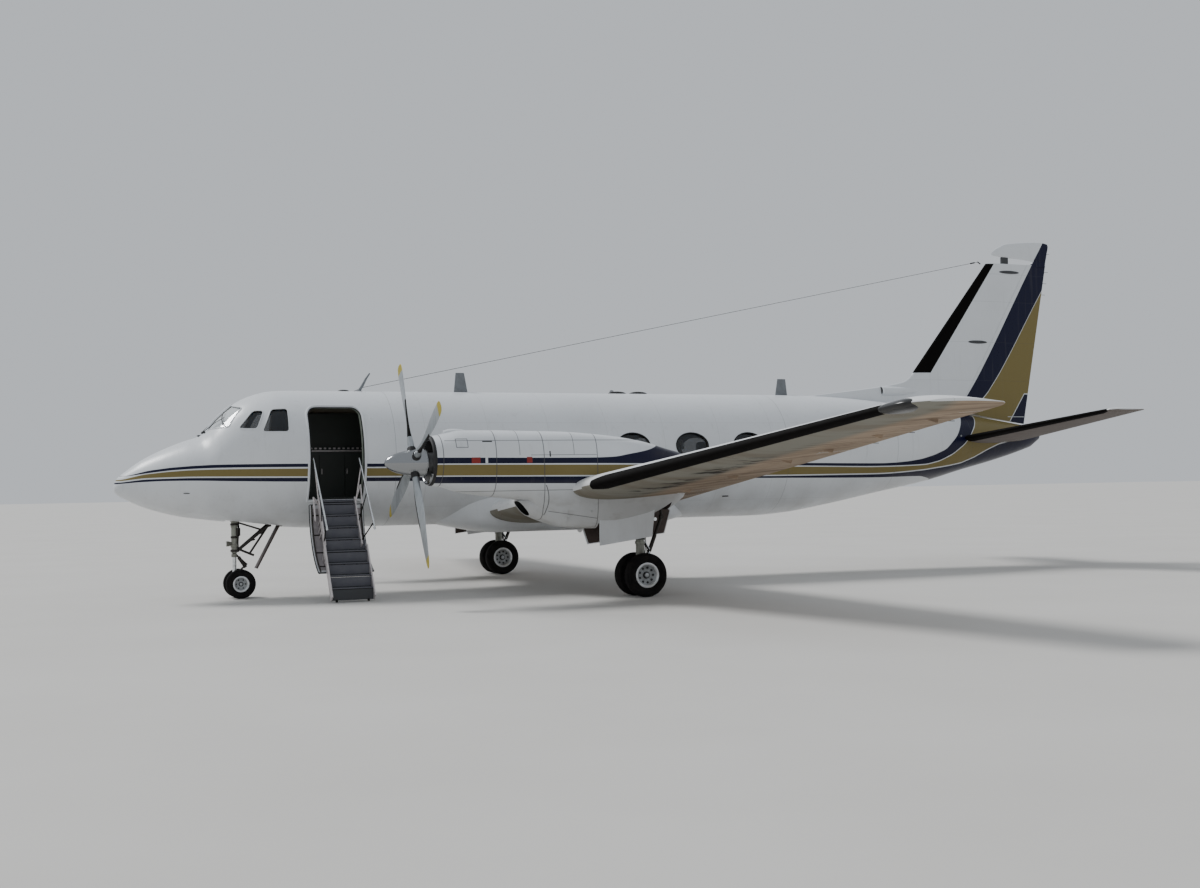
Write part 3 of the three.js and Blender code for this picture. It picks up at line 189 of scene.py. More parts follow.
LOWER_BOTTOM = [
    (0.038, 1.973), (0.103, 1.981), (0.408, 2.001), (0.717, 2.011), (1.09, 2.011), (1.66, 1.994),
    (2.966, 1.964), (12.08, 1.895), (12.87, 1.885), (14.33, 1.875), (15.55, 1.89), (16.1, 1.8),
    (16.5, 1.5), (17, 0.5), (20, 0.4),
]
STRIPE_LINE = 0.022
NACELLE_UPPER = [
    (4.4, 2.272), (6.91, 2.252), (7.3, 2.262), (7.54, 2.3), (7.92, 2.37), (8.3, 2.52), (8.8, 2.72),
]
NACELLE_UPPER_BOTTOM = [(4.4, 2.182), (6.91, 2.162), (7.85, 2.15), (8.8, 2.14)]
NACELLE_GOLD = [(4.4, 2.165, 2.0), (6.91, 2.14, 1.975), (8.8, 2.12, 1.955)]
NACELLE_LOWER = [(4.4, 1.985, 1.885), (6.91, 1.955, 1.845), (8.8, 1.93, 1.81)]

# Camera, solved from the photo
CAMERA = {
    "at": (-11.1181, -24.7291, 1.7824), "yaw": 22.3034, "pitch": 1.7494, "roll": -1.0458,
    "lens": 42.324, "sensor": 36, "reach": 2000,
}

# Light and floor
SKY = {"colour": "dfe4ea", "strength": 0.78}
SUN = {"energy": 2.6, "angle": math.radians(18), "toward": (0.45, -0.5, -0.75)}
FLOOR_REACH = 400


# Shapes

def smooth_table(rows):
    """Returns a function that runs smoothly through a table, keyed by its first column."""
    keys = [row[0] for row in rows]
    count = len(rows)
    rise = [[(b - a) / (keys[k + 1] - keys[k]) for a, b in zip(rows[k][1:], rows[k + 1][1:])]
            for k in range(count - 1)]
    slope = [rise[0]]
    for before, after in zip(rise, rise[1:]):
        slope.append([2 * a * b / (a + b) if a * b > 0 else 0 for a, b in zip(before, after)])
    slope.append(rise[-1])

    def at(key):
        k = max(0, min(count - 2, sum(value <= key for value in keys) - 1))
        step = keys[k + 1] - keys[k]
        t = max(0, min(1, (key - keys[k]) / step))
        low, high = rows[k][1:], rows[k + 1][1:]
        return [
            (1 + 2 * t) * (1 - t) ** 2 * a + t * (1 - t) ** 2 * step * da
            + t * t * (3 - 2 * t) * b + t * t * (t - 1) * step * db
            for a, b, da, db in zip(low, high, slope[k], slope[k + 1])
        ]
    return at


def spread(low, high, count):
    """Evenly spaced numbers, with both ends."""
    return [low + (high - low) * k / (count - 1) for k in range(count)]


def mix(pair, part):
    return pair[0] + (pair[1] - pair[0]) * part


def around(count):
    """Equal angles once round a circle."""
    return [2 * math.pi * k / count for k in range(count)]


def bent(value, power):
    """A number raised to a power, with its sign kept."""
    return math.copysign(abs(value) ** power, value)


def disc(radius, long):
    """The profile of a plain round bar."""
    return [(0, 0), (radius, 0), (radius, long), (0, long)]


def collar(inner, outer, long):
    """The profile of a plain ring."""
    return [(inner, 0), (outer, 0), (outer, long), (inner, long)]


def swelling(front, rear, count):
    """Stations along a blister, each with its share of the full size."""
    return [(mix((front, rear), t), math.sqrt(1 - (2 * t - 1) ** 2)) for t in spread(0.02, 0.98, count)]


class Shape:
    """Points and faces, with a material number for each face."""

    def __init__(self):
        self.points = []
        self.faces = []
        self.marks = []

    def add(self, points, faces, mark=0):
        first = len(self.points)
        self.points += [tuple(point) for point in points]
        self.faces += [tuple(first + k for k in face) for face in faces]
        self.marks += [mark] * len(faces)
        return self

    def join(self, other, matrix=None):
        points = other.points if matrix is None else [matrix @ Vector(p) for p in other.points]
        first = len(self.points)
        self.points += [tuple(point) for point in points]
        self.faces += [tuple(first + k for k in face) for face in other.faces]
        self.marks += other.marks
        return self

    def moved(self, matrix):
        return Shape().join(self, matrix)

    def mirrored(self):
        return self.moved(Matrix.Scale(-1, 4, OUT))

    def loft(self, rings, mark=0, caps=True):
        """A skin through rings of equal point counts."""
        count = len(rings[0])
        faces = []
        for ring in range(len(rings) - 1):
            for k in range(count):
                a, b = ring * count + k, ring * count + (k + 1) % count
                faces.append((a, b, b + count, a + count))
        if caps:
            last = (len(rings) - 1) * count
            faces.append(tuple(range(count)))
            faces.append(tuple(range(last + count - 1, last - 1, -1)))
        return self.add([p for ring in rings for p in ring], faces, mark)

    def turned(self, profile, start, along, sides=24, mark=0):
        """A profile of (radius, distance) turned about a line."""
        axis = Vector(along).normalized()
        side = axis.orthogonal().normalized()
        up = axis.cross(side)
        rings = []
        for radius, distance in profile:
            centre = Vector(start) + axis * distance
            rings.append([
                centre + max(radius, MERGE) * (side * math.cos(a) + up * math.sin(a))
                for a in around(sides)
            ])
        return self.loft(rings, mark)

    def ring(self, profile, start, along, sides=24, mark=0):
        """A closed profile of (radius, distance) turned about a line."""
        body = Shape().turned(profile + profile[:1], start, along, sides, mark)
        body.faces, body.marks = body.faces[:-2], body.marks[:-2]
        return self.join(body)

    def rod(self, start, end, radius, sides=16, mark=0, edge=None, end_radius=None):
        """A round bar with chamfered ends."""
        long = (Vector(end) - Vector(start)).length
        far = radius if end_radius is None else end_radius
        cut = min(radius, far, long / 3) * 0.15 if edge is None else edge
        profile = [(0, 0), (radius - cut, 0), (radius, cut)]
        profile += [(far, long - cut), (far - cut, long), (0, long)]
        return self.turned(profile, start, Vector(end) - Vector(start), sides, mark)

    def box(self, low, high, mark=0, cut=0.004):
        """A box with chamfered edges along its longest direction."""
        size = [b - a for a, b in zip(low, high)]
        axis = size.index(max(size))
        u, v = [k for k in range(3) if k != axis]
        cut = min(cut, size[u] / 3, size[v] / 3)
        corners = []
        for cu, cv, first in ((0, 0, 1), (1, 0, 0), (1, 1, 1), (0, 1, 0)):
            pu, pv = (low[u], high[u])[cu], (low[v], high[v])[cv]
            du, dv = cut * (1, -1)[cu], cut * (1, -1)[cv]
            pair = [(pu, pv + dv), (pu + du, pv)]
            corners += pair if first else pair[::-1]
        rings = []
        ends = ((low[axis], 1), (low[axis] + cut, 0), (high[axis] - cut, 0), (high[axis], 1))
        for value, inset in ends:
            ring = []
            for pu, pv in corners:
                point = [0, 0, 0]
                point[axis] = value
                middle_u, middle_v = (low[u] + high[u]) / 2, (low[v] + high[v]) / 2
                point[u] = pu - math.copysign(cut * inset, pu - middle_u)
                point[v] = pv - math.copysign(cut * inset, pv - middle_v)
                ring.append(point)
            rings.append(ring)
        return self.loft(rings, mark)

    def plate(self, outline, axis, low, high, mark=0, cut=0.003):
        """An outline in the plane across an axis, given a thickness along it, with small chamfers."""
        middle = [sum(p[k] for p in outline) / len(outline) for k in (0, 1)]
        cut = min(cut, (high - low) / 3)
        rings = []
        for value, inset in ((low, 1), (low + cut, 0), (high - cut, 0), (high, 1)):
            ring = []
            for p in outline:
                away = Vector((p[0] - middle[0], p[1] - middle[1]))
                shift = away.normalized() * cut * inset if away.length else away
                u, v = p[0] - shift.x, p[1] - shift.y
                ring.append({"x": (value, u, v), "y": (u, value, v), "z": (u, v, value)}[axis])
            rings.append(ring)
        return self.loft(rings, mark)

    def tube(self, points, radius, sides=10, mark=0, closed=False, flat=1.0):
        """A round bar along a path."""
        path = [Vector(p) for p in points]
        count = len(path)
        rings = []
        side = None
        for k, point in enumerate(path):
            before = path[(k - 1) % count] if closed or k else point
            after = path[(k + 1) % count] if closed or k < count - 1 else point
            along = (after - before).normalized()
            if side is None:
                side = along.orthogonal().normalized()
            side = (side - along * side.dot(along)).normalized()
            up = along.cross(side)
            rings.append([
                point + radius * (side * math.cos(a) + up * math.sin(a) * flat)
                for a in around(sides)
            ])
        if closed:
            return self.loft(rings + rings[:1], mark, caps=False)
        return self.loft(rings, mark)

    def cushion(self, centre, half, lean, crown, channels):
        """A stuffed block: crowned faces, rounded edges, a sunken seam and sewn channels."""
        corners, edges = 0.42, 0.36
        rings = []
        for tilt in spread(-math.pi / 2, math.pi / 2, 23):
            level = bent(math.sin(tilt), 0.5)
            width = abs(math.cos(tilt)) ** edges * (1 - 0.03 * math.exp(-(level * 6) ** 2))
            ring = []
            for turn in around(40):
                x, y = bent(math.cos(turn), corners) * width, bent(math.sin(turn), corners) * width
                pull = 1 - 0.06 * (x * x) * (y * y)
                swell = 1 - crown * (x * x + y * y) / 2
                if channels:
                    swell -= 0.16 * abs(math.cos(math.pi * channels * (x + 1) / 2)) ** 12
                ring.append(Vector((x * half[0] * pull, y * half[1] * pull, level * half[2] * swell)))
            rings.append(ring)
        place = Matrix.Translation(centre) @ Matrix.Rotation(lean, 4, "Y")
        return self.join(Shape().loft(rings), place)


def oval(x, top, bottom, half, count=AROUND, power=2.0, y=0.0):
    """A squared ellipse in the plane of one station."""
    middle, rise = (top + bottom) / 2, (top - bottom) / 2
    return [
        (x, y + half * bent(math.cos(a), 2 / power), middle + rise * bent(math.sin(a), 2 / power))
        for a in around(count)
    ]


def rounded(outline, radius, steps=6):
    """An outline of (u, v) points with its corners rounded."""
    points = []
    for k, corner in enumerate(outline):
        here = Vector(corner)
        back = Vector(outline[k - 1]) - here
        on = Vector(outline[(k + 1) % len(outline)]) - here
        reach = min(radius, back.length * 0.45, on.length * 0.45)
        start, end = here + back.normalized() * reach, here + on.normalized() * reach
        for j in range(steps + 1):
            t = j / steps
            point = start * (1 - t) ** 2 + here * 2 * t * (1 - t) + end * t * t
            points.append((point.x, point.y))
    return points


def dense(outline, step=0.04):
    """The same closed outline with points no further apart than a step."""
    points = []
    for k, start in enumerate(outline):
        a, b = Vector(start), Vector(outline[(k + 1) % len(outline)])
        parts = max(1, math.ceil((b - a).length / step))
        points += [tuple(a.lerp(b, j / parts)) for j in range(parts)]
    return points


# Pieces

def mesh_of(name, shape, looks, sharp=35):
    """A clean mesh of a shape, moved from stations into the frame, with its looks by name."""
    mesh = bpy.data.meshes.new(name)
    mesh.from_pydata([(x + NOSE, y, z) for x, y, z in shape.points], [], shape.faces)
    mesh.polygons.foreach_set("material_index", shape.marks)
    made = bmesh.new()
    made.from_mesh(mesh)
    bmesh.ops.remove_doubles(made, verts=made.verts, dist=MERGE)
    bmesh.ops.dissolve_degenerate(made, edges=made.edges, dist=MERGE)
    bmesh.ops.recalc_face_normals(made, faces=made.faces)
    made.to_mesh(mesh)
    made.free()
    for look in looks.split():
        mesh.materials.append(LOOK[look])
    finish_mesh(mesh, sharp)
    return mesh


def finish_mesh(mesh, sharp=35):
    """Smooth shading that breaks at edges sharper than an angle in degrees."""
    mesh.polygons.foreach_set("use_smooth", [True] * len(mesh.polygons))
    mesh.set_sharp_from_angle(angle=math.radians(sharp))
    mesh.update()


def loose(name, shape, looks="", sharp=35):
    """An object that isn't a piece yet."""
    piece = bpy.data.objects.new(name, mesh_of(name, shape, looks, sharp))
    bpy.context.scene.collection.objects.link(piece)
    return piece


def ready(piece, body="airframe", replaces=()):
    """Says which body a piece rides and the nodes that it replaces."""
    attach(piece, body)
    if replaces:
        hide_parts(*replaces)
    return piece


def make(name, shape, looks, body="airframe", replaces=(), sharp=35):
    return ready(loose(name, shape, looks, sharp), body, replaces)


def applied(piece):
    """Turns a piece's modifiers into its mesh."""
    bpy.context.view_layer.update()
    graph = bpy.context.evaluated_depsgraph_get()
    mesh = bpy.data.meshes.new_from_object(piece.evaluated_get(graph))
    piece.modifiers.clear()
    old = piece.data
    piece.data = mesh
    bpy.data.meshes.remove(old)
    mesh.name = piece.name
    return piece


def carve(piece, cutter_shape, operation="DIFFERENCE", looks=""):
    """Cuts a piece by a shape, or keeps only what the two share."""
    cutter = loose("cutter", cutter_shape, looks)
    change = piece.modifiers.new("cut", "BOOLEAN")
    change.operation = operation
    change.solver = "EXACT"
    change.object = cutter
    applied(piece)
    bpy.data.objects.remove(cutter)
    finish_mesh(piece.data)
    return piece


def of_side(shape, sign):
    """A starboard shape, or its mirror image on the port side."""
    return shape if sign > 0 else shape.mirrored()


def sided(name, shape, looks, body=None, replaces=()):
    """The same starboard shape on both sides, each riding on its own side's body."""
    pieces = []
    for side, sign in SIDES:
        rides = f"{body}_{side}" if body else "airframe"
        hidden = [f"{node}_{side}" for node in replaces]
        pieces.append(make(f"{name}_{side}", of_side(shape, sign), looks, rides, hidden))
    return pieces


# Materials

def rgb(text):
    """A display colour such as d9dde0 as linear values."""
    values = [int(text[k:k + 2], 16) / 255 for k in (0, 2, 4)]
    return tuple(v / 12.92 if v <= 0.04045 else ((v + 0.055) / 1.055) ** 2.4 for v in values) + (1,)


class Value:
    """A number that varies over a surface."""

    def __init__(self, paint, socket):
        self.paint = paint
        self.socket = socket

    def maths(self, operation, *others, clamp=False):
        return self.paint.maths(operation, self, *others, clamp=clamp)

    def __add__(self, other):
        return self.maths("ADD", other)

    def __sub__(self, other):
        return self.maths("SUBTRACT", other)

    def __mul__(self, other):
        return self.maths("MULTIPLY", other)

    def flipped(self):
        return self.paint.maths("SUBTRACT", 1.0, self)

    def over(self, other, soft=0.004):
        return (self - other).maths("DIVIDE", soft).maths("ADD", 0.5, clamp=True)

    def under(self, other, soft=0.004):
        return self.over(other, soft).flipped()

    def within(self, low, high, soft=0.004):
        return self.over(low, soft) * self.under(high, soft)

    def near(self, place, width, soft=0.003):
        return (self - place).maths("ABSOLUTE").under(width / 2, soft)

    def ramp(self, low, high):
        return self.over((low + high) / 2, high - low)

    def absolute(self):
        return self.maths("ABSOLUTE")

    def either(self, other):
        return self.maths("MAXIMUM", other)


class Paint:
    """One procedural material."""

    def __init__(self, name, colour, roughness, metallic=0.0, **sockets):
        self.material = bpy.data.materials.new(name)
        self.material.use_nodes = True
        self.tree = self.material.node_tree
        self.shader = self.tree.nodes["Principled BSDF"]
        self.colour = rgb(colour)
        self.shader.inputs["Base Color"].default_value = self.colour
        self.shader.inputs["Roughness"].default_value = roughness
        self.shader.inputs["Metallic"].default_value = metallic
        for key, value in sockets.items():
            self.shader.inputs[key.replace("_", " ")].default_value = value
        place = self.node("ShaderNodeTexCoord").outputs["Object"]
        self.place = place
        split = self.node("ShaderNodeSeparateXYZ")
        self.tree.links.new(place, split.inputs[0])
        self.x = Value(self, split.outputs[0]) - NOSE
        self.y = Value(self, split.outputs[1])
        self.z = Value(self, split.outputs[2])

    def node(self, kind, **settings):
        made = self.tree.nodes.new(kind)
        for key, value in settings.items():
            setattr(made, key, value)
        return made

    def put(self, source, socket):
        if isinstance(source, Value):
            self.tree.links.new(source.socket, socket)
        elif isinstance(source, bpy.types.NodeSocket):
            self.tree.links.new(source, socket)
        else:
            socket.default_value = source

    def maths(self, operation, *values, clamp=False):
        made = self.node("ShaderNodeMath", operation=operation, use_clamp=clamp)
        for value, socket in zip(values, made.inputs):
            self.put(value, socket)
        return Value(self, made.outputs[0])

    def curve(self, points):
        """The height of a line through points of station and height."""
        made = self.node("ShaderNodeFloatCurve")
        line = made.mapping.curves[0]
        height = smooth_table(points)
        places = [(x / LINE_LENGTH, height(x)[0] / LINE_HEIGHT)
                  for x in spread(points[0][0], points[-1][0], LINE_POINTS)]
        for place in places[1:-1]:
            line.points.new(*place)
        line.points[0].location = places[0]
        line.points[len(line.points) - 1].location = places[-1]
        for point in line.points:
            point.handle_type = "VECTOR"
        made.mapping.use_clip = False
        made.mapping.extend = "HORIZONTAL"
        made.mapping.update()
        self.put(self.x * (1 / LINE_LENGTH), made.inputs["Value"])
        return Value(self, made.outputs[0]) * LINE_HEIGHT

    def noise(self, scale, detail, stretch=EVEN):
        mapping = self.node("ShaderNodeMapping")
        mapping.inputs["Scale"].default_value = stretch
        self.tree.links.new(self.place, mapping.inputs["Vector"])
        made = self.node("ShaderNodeTexNoise")
        made.inputs["Scale"].default_value = scale
        made.inputs["Detail"].default_value = detail
        made.inputs["Roughness"].default_value = 0.55
        self.tree.links.new(mapping.outputs[0], made.inputs["Vector"])
        return Value(self, made.outputs["Fac"])

    def tint(self, mask, colour):
        """Covers what is painted so far with a colour, where the mask is 1."""
        made = self.node("ShaderNodeMix", data_type="RGBA")
        self.put(mask, made.inputs[0])
        self.put(self.colour, made.inputs[6])
        self.put(rgb(colour) if isinstance(colour, str) else colour, made.inputs[7])
        self.colour = made.outputs[2]
        self.put(self.colour, self.shader.inputs["Base Color"])
        return self

    def layer(self, scale, detail, stretch=EVEN, tint=None, depth=None):
        """A noise that may tint the surface (low, high, strength, colour) and dent it."""
        noise = self.noise(scale, detail, stretch)
        if tint:
            low, high, strength, colour = tint
            self.tint(noise.ramp(low, high) * strength, colour)
        if depth:
            self.bump(noise, depth)
        return noise

    def rough(self, value):
        self.put(value, self.shader.inputs["Roughness"])
        return self

    def bump(self, height, depth):
        made = self.node("ShaderNodeBump")
        made.inputs["Strength"].default_value = 1.0
        made.inputs["Distance"].default_value = depth
        self.put(height, made.inputs["Height"])
        old = self.shader.inputs["Normal"]
        if old.is_linked:
            self.tree.links.new(old.links[0].from_socket, made.inputs["Normal"])
        self.tree.links.new(made.outputs[0], old)
        return self


def seams_at(along, places, width):
    """Panel joints: a mask of fine lines at the given places."""
    mask = along.near(places[0], width)
    for place in places[1:]:
        mask = mask.either(along.near(place, width))
    return mask


WHITE = "dcdfe2"
NAVY = "03072a"
GOLD = "7a6d41"


def painted(name):
    """Glossy white paint, a little uneven and dusty."""
    paint = Paint(name, WHITE, 0.3, Specular_IOR_Level=0.24)
    paint.layer(0.9, 5, (1, 1, 1.4), (0.45, 0.85, 0.3, "bdc0c2"))
    return paint


def weather_and_shade(paint, underside, seam_mask=None, strength=0.5):
    """A patchy darker tint below a height, painted shade of the underside, then rain streaks and dark panel
    joints.
    """
    patchy_underside_shade = paint.noise(1.6, 6, (1, 1, 0.6))
    # Painted shade: below the given height the paint is darkened in noisy patches.
    paint.tint(paint.z.under(underside, 0.7) * patchy_underside_shade.ramp(0.3, 0.8) * 0.5, "8b867e")
    paint.layer(7, 4, (1.6, 1.6, 0.08), (0.58, 0.8, 0.14, "7a7873"))
    if seam_mask is not None:
        paint.tint(seam_mask * strength, "4a4b4f")
        paint.bump(seam_mask.flipped(), 0.002)
    paint.rough(paint.noise(60, 3).ramp(0.2, 0.9) * 0.16 + 0.24)
    paint.layer(2.6, 2, depth=0.006)
    return paint.material


def body_stripes(paint):
    """The navy, gold and navy stripes along the body and up the fin."""
    top, bottom = paint.curve(UPPER_TOP), paint.curve(UPPER_BOTTOM)
    gold_top, gold_bottom = paint.curve(GOLD_TOP), paint.curve(GOLD_BOTTOM)
    lower = paint.curve(LOWER_BOTTOM)
    paint.tint(paint.z.within(bottom, top), NAVY)
    paint.tint(paint.z.within(gold_bottom, gold_top), GOLD)
    paint.tint(paint.z.within(lower, gold_bottom - STRIPE_LINE), NAVY)
    return paint


def livery():
    """The fuselage: stripes, panel joints and skin laps."""
    paint = body_stripes(painted("livery"))
    x = paint.x
    seams = seams_at(x, (4.5, 12.15, 14.78, 16.84), 0.007)
    frames = ((x - 5.6) * (1 / 1.13)).maths("FRACT").near(0.5, 0.004) * x.within(4.6, 12.1)
    laps = seams_at(paint.z, (1.5, 2.95), 0.004) * x.within(4.5, 15, 0.01)
    return weather_and_shade(paint, 1.7, seams.either(frames * 0.5).either(laps * 0.4))


def tail_paint():
    """The fin and rudder: the body's stripes, and a navy corner with a white edge."""
    paint = body_stripes(painted("tail_paint"))
    x, z = paint.x, paint.z
    edge = (z - 2.956) * 0.702 + 18.212
    paint.tint(x.over(edge - 0.02) * z.under(3.64) * z.over(2.7), WHITE)
    paint.tint(x.over(edge) * z.under(3.62), NAVY)
    paint.tint(z.near(3.133, 0.012) * x.within(18.2, 18.66), "c9ccd0")
    return weather_and_shade(paint, 1.7, seams_at(z, (3.9, 4.72, 5.6, 6.2), 0.005) * 0.6)


def nacelle_paint():
    """The nacelles: stripes, cowl joints, a hatch, red bands, slots darkened as painted shade, exhaust soot,
    and painted shade along the lower part.
    """
    paint = painted("nacelle_paint")
    x, z = paint.x, paint.z
    paint.tint(z.within(paint.curve(NACELLE_UPPER_BOTTOM), paint.curve(NACELLE_UPPER)), NAVY)
    for rows, colour in ((NACELLE_GOLD, GOLD), (NACELLE_LOWER, NAVY)):
        high = paint.curve([(a, b) for a, b, _ in rows])
        low = paint.curve([(a, c) for a, _, c in rows])
        paint.tint(z.within(low, high), colour)
    band = z.within(2.18, 2.27)
    paint.tint(band * x.within(4.94, 5.08).either(x.within(5.83, 5.92)), "8c2f2c")
    paint.tint(band * x.within(5.16, 5.2), WHITE)
    hatch = x.within(4.71, 4.9) * z.within(2.42, 2.56)
    seams = seams_at(x, (4.51, 5.34, 6.12, 7.01), 0.012)
    for line in (
        seams_at(z, (1.75, 2.53), 0.008) * x.within(4.55, 7.9),
        seams_at(x, (5.72, 6.62), 0.008) * z.over(2.3),
        z.near(2.3, 0.007) * x.within(5.9, 7.0),
        (x - (z - 1.6) * (z - 1.6) * -0.9).near(6.19, 0.016) * z.within(1.36, 1.83),
        (z - (x - 6.2) * -0.16).near(1.42, 0.01) * x.within(6.2, 7.0),
        hatch * (x.within(4.72, 4.89) * z.within(2.43, 2.55)).flipped(),
    ):
        seams = seams.either(line)
    weather_and_shade(paint, 1.55, seams, 0.85)
    soot = paint.noise(3.2, 5, (0.35, 1, 1))
    paint.tint(x.over(7.9, 1.0) * soot.ramp(0.35, 0.7) * 0.45, "4c4844")
    oil = paint.noise(5, 5, (0.5, 1, 1))
    paint.tint(z.under(1.6, 0.5) * oil.ramp(0.5, 0.72) * 0.5, "6b5d4d")
    # Painted shade: the lower part of the nacelle is evenly darker.
    paint.tint(z.under(1.78, 0.3) * 0.35, "8f8c86")
    # Painted shade: the openings of the slots are painted near black.
    shaded_slots = x.within(5.13, 5.29) * z.near(2.515, 0.018)
    paint.tint(shaded_slots.either(x.near(6.22, 0.022) * z.within(2.27, 2.36)), "1a1a1c")
    return paint.material


def along_span(paint, pair):
    """A wing measure that runs evenly from root to tip."""
    return paint.y.absolute() * ((pair[1] - pair[0]) / HALF_SPAN) + pair[0]


def rib_joints(paint, start, each_metre, width, soft):
    """A mask of the joints at a wing's ribs."""
    return ((paint.y.absolute() - start) * each_metre).maths("FRACT").near(0.5, width, soft)


def wing_paint():
    """The wing's white top, with rib and spar joints and streaks along the air."""
    paint = Paint("wing_paint", "e6e7e7", 0.36, Coat_Weight=0.12, Coat_Roughness=0.2)
    spars = seams_at(paint.x - along_span(paint, WING["lead"]), (0.55, 1.05), 0.006)
    joints = rib_joints(paint, 0.2, 1.25, 0.006, 0.004).either(spars)
    paint.tint(joints * 0.35, "6d6a64")
    paint.bump(joints.flipped(), 0.0015)
    paint.layer(2.2, 2, depth=0.008)
    streak = paint.layer(14, 3, (0.06, 1, 1), (0.55, 0.8, 0.2, "84796a"))
    paint.rough(streak * 0.1 + 0.34)
    return paint.material


def wing_below_paint_and_shade():
    """The underside: grey ahead and stained beige behind, both deepened as painted shade, with soot behind
    the engines.
    """
    # Painted shade: the base grey and the beige tint are darker to stand for the shade under the wing.
    paint = Paint("wing_below_paint_and_shade", "8a887e", 0.8, Specular_IOR_Level=0.12)
    share = (paint.x - along_span(paint, WING["lead"])).maths("DIVIDE", along_span(paint, WING["chord"]))
    paint.tint(share.ramp(0.36, 0.5), "ab9884")
    paint.layer(2.4, 6, (0.22, 1, 1), (0.46, 0.66, 0.5, "6d5c49"))
    drips = paint.noise(9, 4, (0.1, 1, 1))
    paint.tint(drips.ramp(0.5, 0.62) * share.over(0.3, 0.1) * 0.45, "5c4c3e")
    soot = paint.noise(4, 5, (0.45, 1.6, 1))
    behind = paint.y.absolute().within(4.8, 8.2, 0.6) * share.within(0.2, 0.42, 0.08)
    paint.tint(behind * soot.ramp(0.5, 0.55) * 0.9, "1d1916")
    joints = rib_joints(paint, 0.2, 1.25, 0.006, 0.004)
    paint.tint(joints * 0.4, "55524c")
    paint.bump(joints.flipped(), 0.0015)
    return paint.material


def tailplane_paint(name, colour, streaks, ribs, **sockets):
    """The tailplane's top or underside, with streaks along the air and rib joints."""
    paint = Paint(name, colour, **sockets)
    paint.layer(9, 4, (0.1, 1, 1), (0.5, 0.75, *streaks))
    joints = rib_joints(paint, 0, 1.9, 0.008, 0.006)
    paint.tint(joints * ribs[0], ribs[1])
    return paint, joints


def tailplane_top():
    paint, joints = tailplane_paint("tailplane_paint", "d6d8d9", (0.3, "8d877d"), (0.35, "6d6a64"),
                                    roughness=0.38, Coat_Weight=0.12, Coat_Roughness=0.2)
    paint.bump(joints.flipped(), 0.0012)
    return paint.material


def tailplane_below():
    # Painted shade: the underside's grey is much darker than the top, deepened for the shade below the
    # tailplane.
    return tailplane_paint("tail_below_paint_and_shade", "77706c", (0.4, "57504b"), (0.4, "4d4946"),
                           roughness=0.8, Specular_IOR_Level=0.12)[0].material


def simple(name, colour, roughness, *layers, metallic=0.0, **sockets):
    """One colour under noise layers, each as Paint.layer takes it."""
    paint = Paint(name, colour, roughness, metallic, **sockets)
    for layer in layers:
        paint.layer(*layer)
    return paint.material


def metal(name, colour, roughness, worn="6b6458", metallic=1.0):
    """Bare or painted metal with worn patches and a fine uneven gloss."""
    paint = Paint(name, colour, roughness, metallic)
    paint.layer(14, 5, tint=(0.45, 0.75, 0.45, worn))
    fine = paint.noise(120, 3)
    paint.rough(fine.ramp(0.2, 0.9) * 0.18 + (roughness - 0.06))
    paint.bump(fine, 0.0006)
    return paint.material


def rubber(name, colour):
    return simple(name, colour, 0.86, (9, 6, EVEN, (0.4, 0.8, 0.3, "3a3530")), (160, 3, EVEN, None, 0.0012),
                  Specular_IOR_Level=0.2)


def dark(name, colour="17181a", roughness=0.6):
    """Plain dusty paint or plastic."""
    return simple(name, colour, roughness, (12, 5, EVEN, (0.45, 0.8, 0.35, "3a3733"), 0.001))


def boot_rubber():
    """Black de-icing rubber."""
    paint = Paint("boot_rubber", "0a0807", 0.8, Specular_IOR_Level=0.08)
    dust = paint.layer(6, 5, tint=(0.5, 0.85, 0.2, "1e1a17"))
    paint.rough(dust * 0.2 + 0.7)
    return paint.material


def glass():
    paint = Paint("window_glass", "0b1620", 0.04, Coat_Weight=0.6, Coat_Roughness=0.02, Alpha=0.45)
    paint.rough(paint.noise(5, 4).ramp(0.3, 0.9) * 0.08 + 0.03)
    return paint.material


def tread():
    """Ribbed dark step covering, worn in places."""
    paint = Paint("step_tread", "5a5b63", 0.85)
    paint.layer(7, 5, tint=(0.4, 0.75, 0.4, "707074"))
    paint.bump((paint.x * 55).maths("FRACT").ramp(0.3, 0.7), 0.002)
    return paint.material


def blade_paint():
    """Pale silver blades with yellow tips."""
    paint = Paint("blade_metal", "aeb3b6", 0.36, 0.7)
    y = paint.y.absolute() - GEAR_Y
    z = paint.z - PROP["z"]
    away = (y * y + z * z).maths("SQRT")
    paint.layer(18, 5, (1, 1, 0.3), (0.45, 0.75, 0.4, "5f6468"))
    tip = away.over(PROP["radius"] - 0.15)
    paint.tint(tip, "b5a646")
    paint.rough(tip * 0.15 + 0.34)
    return paint.material


def polished():
    """Mirror-like metal with faint turning marks."""
    paint = Paint("polished_metal", "97999b", 0.16, 1.0)
    paint.rough(paint.noise(6, 5).ramp(0.3, 0.8) * 0.16 + 0.06)
    paint.bump((paint.x * 40).maths("FRACT").near(0.5, 0.25, 0.2), 0.0003)
    return paint.material


